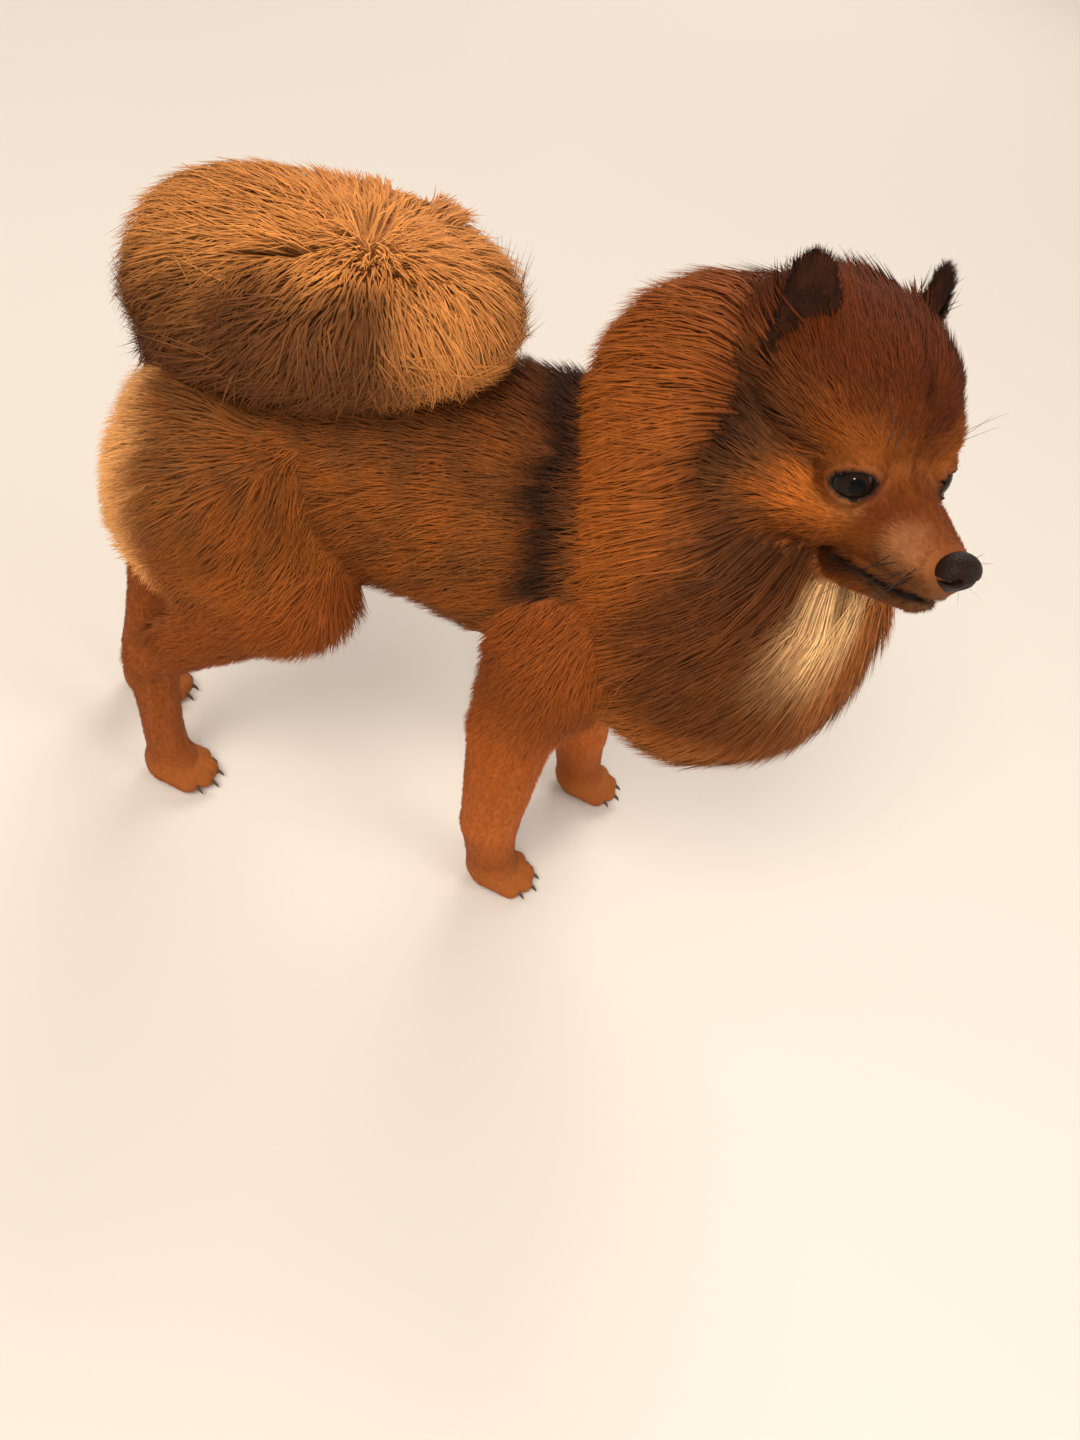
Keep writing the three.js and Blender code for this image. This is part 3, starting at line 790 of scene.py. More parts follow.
def add(tree, kind, **values):
    """A new shader node with some of its inputs set"""
    node = tree.nodes.new("ShaderNode" + kind)
    set_inputs(node, **values)
    return node


def coat_and_grain(tree, grain, detail):
    """Nodes for the painted colour and for fine noise on the object's own coordinates"""
    painted = add(tree, "Attribute")
    painted.attribute_name = "Coat"
    place = add(tree, "TexCoord")
    hair = add(tree, "TexNoise", Scale=grain, Detail=detail)
    tree.links.new(place.outputs["Object"], hair.inputs["Vector"])
    return painted, hair


def raise_surface(tree, height, shader, strength, depth):
    """Bump from a height socket into the shader's normal"""
    relief = add(tree, "Bump", Strength=strength, Distance=depth)
    tree.links.new(height, relief.inputs["Height"])
    tree.links.new(relief.outputs["Normal"], shader.inputs["Normal"])


def fur_material(name, rough, grain):
    """The painted colour with fine streaks of light and dark from noise"""
    m, tree, shader = new_material(name)
    painted, hair = coat_and_grain(tree, grain, 3)
    level = add(tree, "MapRange", From_Min=0.3, From_Max=0.7, To_Min=0.84, To_Max=1.12)
    tree.links.new(hair.outputs["Fac"], level.inputs["Value"])
    scale = add(tree, "VectorMath")
    scale.operation = "SCALE"
    tree.links.new(painted.outputs["Color"], scale.inputs[0])
    tree.links.new(level.outputs["Result"], scale.inputs["Scale"])
    tree.links.new(scale.outputs["Vector"], shader.inputs["Base Color"])
    set_inputs(shader, Roughness=rough, Specular_IOR_Level=0.12)
    return m


def skin_material():
    """Short fur close to the skin: the painted colour under a fine bump"""
    m, tree, shader = new_material("skin_fur")
    painted, hair = coat_and_grain(tree, 900, 4)
    raise_surface(tree, hair.outputs["Fac"], shader, 0.5, 0.0006)
    tree.links.new(painted.outputs["Color"], shader.inputs["Base Color"])
    set_inputs(shader, Roughness=0.75, Specular_IOR_Level=0.2)
    return m


def plain_material(name, colour, rough, gloss=0.5):
    """One colour all over, with its node tree and shader for what is added"""
    m, tree, shader = new_material(name)
    set_inputs(shader, Base_Color=(*colour, 1), Roughness=rough, Specular_IOR_Level=gloss)
    return m, tree, shader


def nose_material():
    """Dark leather with fine pebbles"""
    m, tree, shader = plain_material("nose_leather", (0.014, 0.006, 0.003), 0.42, 0.1)
    place = add(tree, "TexCoord")
    pebble = add(tree, "TexVoronoi", Scale=1300)
    tree.links.new(place.outputs["Object"], pebble.inputs["Vector"])
    raise_surface(tree, pebble.outputs["Distance"], shader, 0.6, 0.0004)
    return m


def eye_material():
    """Pupil, dark iris and rim by the distance from the pupil's middle, under a clear wet coat"""
    m, tree, shader = new_material("eye_wet")
    reach = add(tree, "Attribute")
    reach.attribute_name = "from_pupil"
    rings = add(tree, "ValToRGB")
    black = (0.002, 0.002, 0.002, 1)
    first, last = rings.color_ramp.elements
    first.position, first.color = 0.0, black
    last.position, last.color = 1.0, (0.02, 0.016, 0.014, 1)
    iris = ((0.36, black), (0.42, (0.014, 0.006, 0.003, 1)), (0.82, (0.01, 0.005, 0.003, 1)),
            (0.9, (0.006, 0.004, 0.003, 1)))
    for place, colour in iris:
        rings.color_ramp.elements.new(place).color = colour
    tree.links.new(reach.outputs["Fac"], rings.inputs["Fac"])
    tree.links.new(rings.outputs["Color"], shader.inputs["Base Color"])
    set_inputs(shader, Roughness=0.12, Specular_IOR_Level=0.05)
    set_inputs(shader, Coat_Weight=0.25, Coat_Roughness=0.02, Coat_IOR=1.3)
    return m


# The skin: the box and step of its grid, and the ball round the face in which the grid is halved
SKIN_BOX = ((-182, -110, -3), (215, 100, 372))
SKIN_STEP = 2.0
FINE_MIDDLE = (8, 0, -10)
FINE_REACH = 42

# How the skin's points are drawn onto the zero of its field: how often, over what step the slope is
# measured, the most that a point counts as away, and the share of that by which it moves
DRAWS = 2
SLOPE_STEP = 0.4
MOST_AWAY = 1.2
MOVE_SHARE = 0.8
NODES = ["torso", "neck_ruff", "tail", "head", "ear_right", "ear_left"] + [
    part + "_" + side for part in ("thigh", "shank", "hind_paw", "fore_leg", "fore_paw") for side in SIDES]


def divide_face(mesh):
    """Halves the faces round the eyes and muzzle, where the forms are finest"""
    bm = bmesh.new()
    bm.from_mesh(mesh)
    middle = in_dog(FINE_MIDDLE) + SHIFT
    near = [f for f in bm.faces
            if np.linalg.norm(np.array(f.calc_center_median()) * 1000 - middle) < FINE_REACH]
    edges = list({e for f in near for e in f.edges})
    bmesh.ops.subdivide_edges(bm, edges=edges, cuts=1, use_grid_fill=True)
    bmesh.ops.triangulate(bm, faces=[f for f in bm.faces if len(f.verts) > 4])
    bm.to_mesh(mesh)
    bm.free()


def unwrap_skin(mesh, p, label):
    """Each face takes the sheet of its first corner, and corners past the seam are carried on"""
    loops = whole_numbers(mesh.loops, "vertex_index")
    starts = whole_numbers(mesh.polygons, "loop_start")
    first = np.repeat(loops[starts], whole_numbers(mesh.polygons, "loop_total"))
    own = label[first]
    uv = unwrap(p[loops], own)
    width = np.array([SHEETS[k][0][2] for k in sorted(SHEETS)])[own]
    jump = uv[:, 0] - unwrap(p[first], own)[:, 0]
    uv[:, 0] -= np.where(np.abs(jump) > width * 0.5, np.sign(jump) * width * 0.98, 0)
    set_uv(mesh, uv)


def make_skin():
    """One skin for the whole dog, drawn onto the zero of its field"""
    mesh = build_mesh("skin", *surface_net(skin, *SKIN_BOX, SKIN_STEP))
    divide_face(mesh)
    p = points_of(mesh)
    for _ in range(DRAWS):
        g = gradient(skin, p, SLOPE_STEP)
        p = p - g * np.clip(skin(p), -MOST_AWAY, MOST_AWAY)[:, None] * MOVE_SHARE
    p[:, 2] = np.maximum(p[:, 2], FLOOR_GAP)
    set_points(mesh, p)
    mesh.polygons.foreach_set("use_smooth", np.ones(len(mesh.polygons), bool))
    label = label_at(p)
    root, _ = paint(p, label)
    # Painted shade: the skin takes the roots' colour a little darker under the coat, and darker still under
    # the ruff and tail
    painted_shade_under_hair = np.where(np.isin(label, (RUFF, TAIL)), 0.85, 0.95)
    colour_attribute(mesh, root * painted_shade_under_hair[:, None])
    unwrap_skin(mesh, p, label)
    mesh.update()
    mesh.materials.append(skin_material())
    keep(link("skin", mesh), "coat", *NODES)


# The coat: solid tufts
MOST_TRIANGLES = 198000
SEEDS = {"body": 21, "ruff": 22, "tail": 23, "head": 24, "ears": 25, "whiskers": 26}

# How deep in the skin the hair of each coat starts
SUNK = {"body": 0.6, "head": 0.8, "ears": 0.5, "long": 2.0}

# A blade's depth as a share of its half width, and how far its normals lean to its sides and its tip
BLADE_DEPTH = 0.55
SIDE_LEAN = 0.45
TIP_LEAN = 0.2


def roots_on_skin(count, labels, rng, weigh=None):
    """Points spread over the skin's faces that have these labels, with the label of each"""
    mesh = bpy.data.objects["skin"].data
    mesh.calc_loop_triangles()
    tri = whole_numbers(mesh.loop_triangles, "vertices", 3).reshape(-1, 3)
    p = points_of(mesh)
    a, b, c = p[tri[:, 0]], p[tri[:, 1]], p[tri[:, 2]]
    middle = (a + b + c) / 3
    area = np.linalg.norm(np.cross(b - a, c - a), axis=1)
    label = label_at(middle)
    weight = area * np.isin(label, labels)
    if weigh is not None:
        weight = weight * weigh(middle)
    pick = rng.choice(len(tri), count, p=weight / weight.sum())
    s, t = rng.random((2, count))
    over = s + t > 1
    s[over], t[over] = 1 - s[over], 1 - t[over]
    return a[pick] + s[:, None] * (b - a)[pick] + t[:, None] * (c - a)[pick], label[pick]


def tangent(v, n):
    """Unit vectors along v, laid flat against the normal n"""
    return unit(v - (v * n).sum(1)[:, None] * n)


def clumped(roots, rng, size):
    """For each root the middle of its clump on a lattice, and a random turn that the clump shares"""
    cell = np.floor(roots / size).astype(np.int64)
    cell -= cell.min(axis=0)
    key = (cell[:, 0] * 1024 + cell[:, 1]) * 1024 + cell[:, 2]
    clump = np.unique(key, return_inverse=True)[1].ravel()
    total = np.bincount(clump).astype(float)
    middle = np.stack([np.bincount(clump, roots[:, k]) / total for k in range(3)], 1)
    return middle[clump], rng.normal(size=(len(total), 3))[clump]


def blade_faces(steps):
    """Triangles of one blade: a base, a wall of three sides for each step and a point"""
    faces = [[0, 1, 2]]
    for i in range(steps - 2):
        for j in range(3):
            a, b = 3 * i + j, 3 * i + (j + 1) % 3
            faces += [[a, a + 3, b], [b, a + 3, b + 3]]
    last = 3 * (steps - 2)
    return faces + [[last + j, last + 3, last + (j + 1) % 3] for j in range(3)]


def strands(name, paths, wide, flat, colours, label, slot, material):
    """Closed tapering blades with three sides along each path, as one mesh.
    Their normals lean to the skin's, flat, so that the coat takes light as one soft surface."""
    steps, count = len(paths), len(paths[0])
    rings, lean = [], []
    for i in range(steps - 1):
        along = unit(paths[i + 1] - paths[max(0, i - 1)])
        side = tangent(np.cross(along, flat), along)
        up = np.cross(along, side)
        w = wide[i][:, None]
        rings += [paths[i] + side * w, paths[i] - side * w, paths[i] + up * w * BLADE_DEPTH]
        lean += [flat + side * SIDE_LEAN, flat - side * SIDE_LEAN, flat + up * SIDE_LEAN]
    points = np.stack(rings + [paths[-1]], 1).reshape(-1, 3)
    lean.append(flat + unit(paths[-1] - paths[-2]) * TIP_LEAN)
    lean = unit(np.stack(lean, 1).reshape(-1, 3))
    each = 3 * (steps - 1) + 1
    tris = np.array(blade_faces(steps))
    faces = (np.arange(count) * each)[:, None, None] + tris
    mesh = build_mesh(name, points, faces.reshape(-1, 3))
    share = np.append(np.repeat(np.linspace(0, 1, steps)[:-1], 3), 1.0)[None, :, None]
    root, tip = colours
    # Painted shade: each blade is darker towards its root, where the coat is deep
    shade = 0.8 + 0.2 * np.clip(share * 1.8, 0, 1)
    colour = (root[:, None] * (1 - share) + tip[:, None] * share) * shade
    colour_attribute(mesh, np.clip(colour.reshape(-1, 3), 0, 1))
    half = 0.0015
    across = np.where(np.arange(each) % 3 == 0, -half, half)
    patch = np.stack([across, np.linspace(-half, half, each)], 1)
    spread = unwrap(paths[0], label)[:, None] + patch
    set_uv(mesh, spread[:, tris.ravel()])
    mesh.materials.append(material)
    mesh.normals_split_custom_set_from_vertices(lean.astype(np.float32))
    keep(link(name, mesh), slot)


def strands_in_pieces(name, paths, wide, flat, colours, label, slot, material):
    """Strands as meshes that each stay under the most triangles for a piece"""
    step = MOST_TRIANGLES // len(blade_faces(len(paths)))
    for i, k in enumerate(range(0, len(label), step), 1):
        m = slice(k, k + step)
        strands("%s_%d" % (name, i), [q[m] for q in paths], [w[m] for w in wide], flat[m],
                [c[m] for c in colours], label[m], slot, material)


def vary(colours, rng, amount):
    """Each strand a little lighter or darker than its place"""
    root, tip = colours
    k = np.exp(rng.normal(size=(len(root), 1)) * amount)
    return root * k, tip * k


# Which way the hair lies
FACE = in_dog((-20, 0, 0))
NOSE_END = (52.0, 0, -12)


def body_lie(p, label):
    """Back along the trunk and thighs, down the legs and forward on the toes"""
    x, _, z = p.T
    v = np.tile((-1.0, 0.0, -0.32), (len(p), 1))
    v[np.isin(label, LEGS)] = (-0.25, 0, -1)
    v[np.isin(label, SHANKS)] = (-0.75, 0, -0.75)
    thigh = np.isin(label, THIGHS)
    v[thigh] = (-0.75, 0, -0.65)
    v[thigh & (x < -80) & (z < 165)] = (-0.45, 0, -0.9)
    feet = label == FEET
    v[feet] = (0.25, 0, -1)
    v[feet & (z < 26)] = (1.0, 0, -0.35)
    return v


def ruff_lie(p):
    """Away from the face, and back and down"""
    return unit(p - FACE) + np.array((-0.75, 0, -0.45))


def tail_lie(p):
    """Away from the whorl, and weaker close to it, so that the hair there turns every way"""
    away = p - WHORL
    return away / np.maximum(np.linalg.norm(away, axis=1), 26)[:, None]


def head_lie(p):
    """Away from the nose, up over the crown and down over the cheeks"""
    h = in_head(p)
    v = unit(h - np.array(NOSE_END))
    v[:, 0] -= 0.2 * fall(h[:, 0], -10, -40)
    v[:, 2] += 0.45 * ramp(h[:, 2], 4, 30) * fall(h[:, 0], 8, -20)
    v[:, 2] -= 0.5 * fall(h[:, 2], -10, -30) * fall(h[:, 0], 4, -20)
    return v @ HEAD_TURN.T


def walk(roots, form, lie, levels, reach, wobble, hold):
    """Each strand walks along the lie and rises over the form from level to level.
    Its last step keeps only a share, hold, of the form's bend, so that the tips stand free."""
    n = gradient(form, roots)
    paths = [roots - n * SUNK["long"]]
    p = roots
    for i, level in enumerate(levels):
        step = reach / len(levels)
        v = tangent(lie(p) + wobble * (0.5 + 0.5 * i), n)
        p = p + v * step[:, None]
        n = gradient(form, p)
        bend = hold if i == len(levels) - 1 else 1.0
        p = p + n * np.clip(level - form(p), -30, 30)[:, None] * bend
        paths.append(p)
    return paths


# The body's fur by height over the floor: its length and how far its tips stand off the skin
FUR_HEIGHTS = (0, 24, 60, 110, 140, 190)
FUR_LENGTHS = (2.4, 2.8, 3.4, 5.0, 9.0, 13.5)
FUR_DEPTHS = (0.5, 0.6, 0.8, 1.6, 3.6, 6.0)
TROUSER_LENGTH = 17


def make_body_coat(count):
    """Short plush fur over the trunk, thighs and legs, longer behind the thighs"""
    rng = np.random.default_rng(SEEDS["body"])

    def density(p):
        return np.where(p[:, 2] < 2.5, 0, 1 + 0.6 * (p[:, 2] < 130))

    roots, label = roots_on_skin(count, (TRUNK, *THIGHS, *LEGS, FEET), rng, density)
    n = gradient(skin, roots)
    lie = tangent(body_lie(roots, label), n)
    middle, turn = clumped(roots, rng, size=9.0)
    lie = tangent(lie + 0.16 * turn + 0.16 * rng.normal(size=roots.shape), n)
    length = np.interp(roots[:, 2], FUR_HEIGHTS, FUR_LENGTHS)
    trouser = fall(roots[:, 0], -76, -92) * ramp(roots[:, 2], 100, 124)
    length = length + (TROUSER_LENGTH - length) * trouser
    length *= rng.uniform(0.75, 1.2, count)
    depth = np.interp(roots[:, 2], FUR_HEIGHTS, FUR_DEPTHS)
    rise = np.clip(depth / length, 0.05, 0.5)[:, None] * rng.uniform(0.7, 1.25, (count, 1))
    pull = (middle - roots) * 0.12
    start = roots - n * SUNK["body"]
    end = roots + lie * length[:, None] * 0.97 + n * rise * length[:, None] + pull
    for q in (start, end):
        q[:, 2] = np.maximum(q[:, 2], 0.35)
    width = np.interp(length, (2, 8, 17), (0.24, 0.38, 0.48)) * rng.uniform(0.75, 1.3, count)
    colours = vary(paint(roots, label), rng, 0.09)
    material = fur_material("body_fur", 0.8, 420)
    strands_in_pieces("body_coat", [start, end], [width], n, colours, label, "coat", material)


def make_long_coat(name, part, form, lie, count, slot, depth, reach, ragged, clump, hold):
    """Long hair in locks over the ruff or the tail"""
    rng = np.random.default_rng(SEEDS[name])
    roots, label = roots_on_skin(count, part, rng)
    middle, turn = clumped(roots, rng, clump)
    wobble = 0.17 * turn + 0.16 * rng.normal(size=roots.shape)
    long = reach * rng.uniform(0.7, 1.15, count) * (1 + 0.12 * turn[:, 0])
    if part == TAIL:
        long *= np.clip(np.linalg.norm(roots - WHORL, axis=1) / 48, 0.32, 1)
    end = rng.uniform(-6, 2, count) + ragged * turn[:, 1]
    paths = walk(roots, form, lie, [-depth * 0.38 + end * 0.25, end], long, wobble, hold)
    for i, share in ((1, 0.08), (2, 0.22)):
        paths[i] = paths[i] + (middle - roots) * share
    width = rng.uniform(0.27, 0.62, count)
    colours = vary((paint(paths[1], label)[0], paint(paths[-1], label)[1]), rng, 0.1)
    material = fur_material(name + "_coat_fur", 0.72, 260)
    strands_in_pieces(name + "_coat", paths, [width, width * 0.85], gradient(form, roots), colours,
                      label, slot, material)


# The face's fur by distance in front of the eyes
FACE_PLACES = (-70, -40, -18, 0, 14, 38)
FACE_LENGTHS = (30, 22, 13, 6.5, 4.2, 2.4)
CURVED_FROM = 9


def make_head_coat(count):
    """Fur that is shortest on the muzzle and round the eyes and longest on the cheeks and crown"""
    rng = np.random.default_rng(SEEDS["head"])

    def density(p):
        h = in_head(p)
        bare = (lid_gap(h) < 1.6) & (np.abs(h[:, 0]) < 16)
        near_nose = nose_form(h) < 1.2
        mouth = (mouth_line(h) < 1.2) & (h[:, 0] > 0)
        return np.where(bare | near_nose | mouth, 0, 1 + 1.6 * ramp(h[:, 0], -18, 2))

    roots, label = roots_on_skin(count, HEAD, rng, density)
    h = in_head(roots)
    n = gradient(skin, roots, 0.8)
    middle, turn = clumped(roots, rng, size=6.0)
    lie = tangent(head_lie(roots) + 0.1 * turn + 0.13 * rng.normal(size=roots.shape), n)
    length = np.interp(h[:, 0], FACE_PLACES, FACE_LENGTHS)
    length *= np.interp(np.maximum(lid_gap(h), 0), (0, 10), (0.45, 1.0))
    length *= rng.uniform(0.75, 1.2, count)
    rise = np.interp(h[:, 0], (-40, 0), (0.34, 0.30))[:, None] * rng.uniform(0.7, 1.3, (count, 1))
    start = roots - n * SUNK["head"]
    bend = roots + lie * (length * 0.5)[:, None] + n * rise * (length * 0.65)[:, None]
    end = roots + lie * length[:, None] * 0.96 + n * rise * length[:, None] + (middle - roots) * 0.2
    width = np.interp(length, (2, 6, 24), (0.2, 0.3, 0.55)) * rng.uniform(0.75, 1.25, count)
    colours = vary(paint(roots, label), rng, 0.11)
    material = fur_material("head_fur", 0.78, 520)
    curved = length >= CURVED_FROM
    right = h[:, 1] < 0
    for name, m, path, wide in (
        ("face_coat", ~curved, [start, end], [width]),
        ("cheek_coat_right", curved & right, [start, bend, end], [width, width * 0.8]),
        ("cheek_coat_left", curved & ~right, [start, bend, end], [width, width * 0.8]),
    ):
        strands(name, [q[m] for q in path], [w[m] for w in wide], n[m], [c[m] for c in colours],
                label[m], "coat", material)


def make_ear_coat(count):
    """Velvet on both faces of the ears, a little shorter in the cups"""
    rng = np.random.default_rng(SEEDS["ears"])
    roots, label = roots_on_skin(count, EARS, rng)
    h = in_head(roots)
    out = np.sign(h[:, 1])
    n = gradient(skin, roots, 0.8)
    up = np.stack([np.full(count, -0.15), out * 0.15, np.ones(count)], 1)
    x, y, z = EAR_MIDDLE
    away = h - np.stack([np.full(count, x), out * y, np.full(count, z)], 1)
    lie = tangent((up + 0.6 * unit(away)) @ HEAD_TURN.T + 0.25 * rng.normal(size=roots.shape), n)
    cup = np.minimum.reduce([np.abs(c(h)) for _, c in ears.values()]) < 0.7
    length = np.where(cup, 4.0, 5.0) * rng.uniform(0.7, 1.3, count)
    rise = np.where(cup, 0.25, 0.3)[:, None] * rng.uniform(0.6, 1.3, (count, 1))
    start = roots - n * SUNK["ears"]
    end = roots + lie * length[:, None] + n * rise * length[:, None]
    width = rng.uniform(0.22, 0.36, count)
    colours = vary(paint(roots, label), rng, 0.15)
    material = fur_material("ear_fur", 0.8, 520)
    strands("ear_coat", [start, end], [width], n, colours, label, "ear_fur", material)


# Eyes, nose, claws and whiskers. EYE_REACH is the distance from the pupil's middle to the iris's rim.
EYE_GAZE = math.radians(30)
EYE_REACH = 7.5
NOSE_STEP = 0.5


def make_eyes():
    """Each eye is a ball, turned so that its pupil looks out to its side"""
    material = eye_material()
    radius = EYE_RADIUS / 1000
    for side, out in (("right", -1), ("left", 1)):
        bm = bmesh.new()
        bmesh.ops.create_uvsphere(bm, u_segments=48, v_segments=24, radius=radius)
        layer = bm.loops.layers.uv.new("OFBake")
        for f in bm.faces:
            f.smooth = True
            for corner in f.loops:
                c = corner.vert.co
                corner[layer].uv = (0.5 + math.atan2(c.y, c.x) / 6.3, 0.5 + c.z / radius * 0.49)
        pupil = Vector((radius, 0, 0))
        away = [(v.co - pupil).length * 1000 / EYE_REACH for v in bm.verts]
        turn = Matrix(HEAD_TURN.tolist()).to_4x4() @ Matrix.Rotation(out * EYE_GAZE, 4, "Z")
        place = Matrix.Translation(Vector((in_dog(eye_at(out)) + SHIFT) / 1000))
        bm.transform(place @ turn)
        mesh = bpy.data.meshes.new("eye_" + side)
        bm.to_mesh(mesh)
        bm.free()
        mesh.attributes.new("from_pupil", "FLOAT", "POINT").data.foreach_set("value", away)
        mesh.materials.append(material)
        keep(link("eye_" + side + "_ball", mesh), "eye", "eye_" + side)


def nose_surface(h):
    """The nose with its nostrils, their side slits and the groove between them"""
    d = nose_form(h)
    for out in (-1, 1):
        hole = (h - np.array((MUZZLE_TIP + 5.6, out * 4.0, -12.4))) / np.array((2.6, 1.7, 1.5))
        slit = (h - np.array((MUZZLE_TIP + 3.2, out * 6.6, -14.0))) / np.array((3.2, 2.4, 0.8))
        hole, slit = (np.linalg.norm(q, axis=1) - 1 for q in (hole, slit))
        d = np.maximum(d, -smooth_min(hole * 1.5, slit * 0.8, 1.0))
    return d + 0.7 * hump(h[:, 1], 0.8) * (h[:, 2] < -13)


def make_nose():
    """The nose, on a fine grid in the head's frame"""
    low, high = (MUZZLE_TIP - 9, -10, -23), (MUZZLE_TIP + 10, 10, -3)
    points, quads = surface_net(nose_surface, low, high, NOSE_STEP)
    mesh = build_mesh("nose", in_dog(points), quads)
    x, y, z = points[quads.ravel()].T
    up = (z - low[2]) / (high[2] - low[2])
    set_uv(mesh, np.stack([0.5 + np.arctan2(y, x - MUZZLE_TIP + 6) / 6.4, up], 1))
    mesh.materials.append(nose_material())
    keep(link("nose_leather", mesh), "nose", "nose")


# The claw's length along its bend, its tip's radius, how much wider its root is, and its bend in radians
CLAW_LENGTH = 7.0
CLAW_TIP = 0.12
CLAW_RADIUS = 1.55
CLAW_BEND = 1.15


def claw_mesh():
    """One curved claw of CLAW_LENGTH, from rings that narrow to its tip"""
    rings, sides = 7, 8
    bm = bmesh.new()
    loops = []
    for i in range(rings):
        t = i / (rings - 1)
        x = CLAW_LENGTH * math.sin(t * CLAW_BEND) * 0.95
        z = -CLAW_LENGTH * (1 - math.cos(t * CLAW_BEND)) * 0.7
        r = CLAW_RADIUS * (1 - t) ** 0.75 + CLAW_TIP
        turns = [k / sides * 2 * math.pi for k in range(sides)]
        ring = [(x / 1000, r * 0.75 * math.cos(a) / 1000, (z + r * math.sin(a)) / 1000) for a in turns]
        loops.append([bm.verts.new(q) for q in ring])
    for a, b in zip(loops, loops[1:]):
        for k in range(sides):
            bm.faces.new((a[k], a[(k + 1) % sides], b[(k + 1) % sides], b[k]))
    bm.faces.new(loops[0][::-1])
    bm.faces.new(loops[-1])
    layer = bm.loops.layers.uv.new("OFBake")
    for f in bm.faces:
        f.smooth = True
        for corner in f.loops:
            c = corner.vert.co * 1000
            corner[layer].uv = (c.x / 12 + 0.1, 0.5 + math.atan2(c.z, c.y) / 6.4)
    bmesh.ops.recalc_face_normals(bm, faces=bm.faces)
    mesh = bpy.data.meshes.new("one_claw")
    bm.to_mesh(mesh)
    bm.free()
    return mesh


def claw_tree(claw, material):
    """A tree that sets a claw on each point, turned by the point's own angle, and the id of its size input"""
    tree = bpy.data.node_groups.new("claws_on_toes", "GeometryNodeTree")
    socket = tree.interface.new_socket
    socket("Geometry", in_out="INPUT", socket_type="NodeSocketGeometry")
    size = socket("Claw size", in_out="INPUT", socket_type="NodeSocketFloat")
    socket("Geometry", in_out="OUTPUT", socket_type="NodeSocketGeometry")
    new = tree.nodes.new
    source, sink = new("NodeGroupInput"), new("NodeGroupOutput")
    points, put = new("GeometryNodeMeshToPoints"), new("GeometryNodeInstanceOnPoints")
    info, turn = new("GeometryNodeObjectInfo"), new("GeometryNodeInputNamedAttribute")
    real, finish = new("GeometryNodeRealizeInstances"), new("GeometryNodeSetMaterial")
    info.inputs["Object"].default_value = claw
    turn.data_type = "FLOAT_VECTOR"
    turn.inputs["Name"].default_value = "turn"
    finish.inputs["Material"].default_value = material
    join = tree.links.new
    join(source.outputs["Geometry"], points.inputs["Mesh"])
    join(points.outputs[0], put.inputs["Points"])
    join(info.outputs["Geometry"], put.inputs["Instance"])
    join(turn.outputs[0], put.inputs["Rotation"])
    join(source.outputs["Claw size"], put.inputs["Scale"])
    join(put.outputs[0], real.inputs[0])
    join(real.outputs[0], finish.inputs["Geometry"])
    join(finish.outputs[0], sink.inputs[0])
    return tree, size.identifier


def claw_points():
    """A mesh with a point at the front of every toe, each with its turn"""
    places, turns = [], []
    for paws in (FORE_PAW, HIND_PAW):
        for side in SIDES:
            x, y = paws[side]
            for tx, ty in TOES:
                places.append((x + tx + 3.6, y + ty * 1.05, 6.4))
                turns.append((0, 0.16, math.radians(ty * 1.6)))
    mesh = bpy.data.meshes.new("claw_places")
    mesh.from_pydata([tuple((np.array(q) + SHIFT) / 1000) for q in places], [], [])
    attribute = mesh.attributes.new("turn", "FLOAT_VECTOR", "POINT")
    attribute.data.foreach_set("vector", np.array(turns, np.float32).ravel())
    return mesh


def make_claws(length):
    """A claw on every toe, set by a node tree and then made a plain mesh"""
    claw = link("one_claw", claw_mesh())
    material, _, _ = plain_material("claw_horn", (0.06, 0.034, 0.02), 0.4)
    holder = link("claws", claw_points())
    modifier = holder.modifiers.new("claws", "NODES")
    modifier.node_group, size = claw_tree(claw, material)
    modifier[size] = length / CLAW_LENGTH
    bpy.context.view_layer.update()
    graph = bpy.context.evaluated_depsgraph_get()
    final = bpy.data.meshes.new_from_object(
        holder.evaluated_get(graph), preserve_all_data_layers=True, depsgraph=graph)
    holder.modifiers.clear()
    holder.data = final
    bpy.data.objects.remove(claw)
    keep(holder, "legs")


WHISKER_DROOP = np.array((-0.12, 0, -0.16))
WHISKER_WIDTH = 0.16


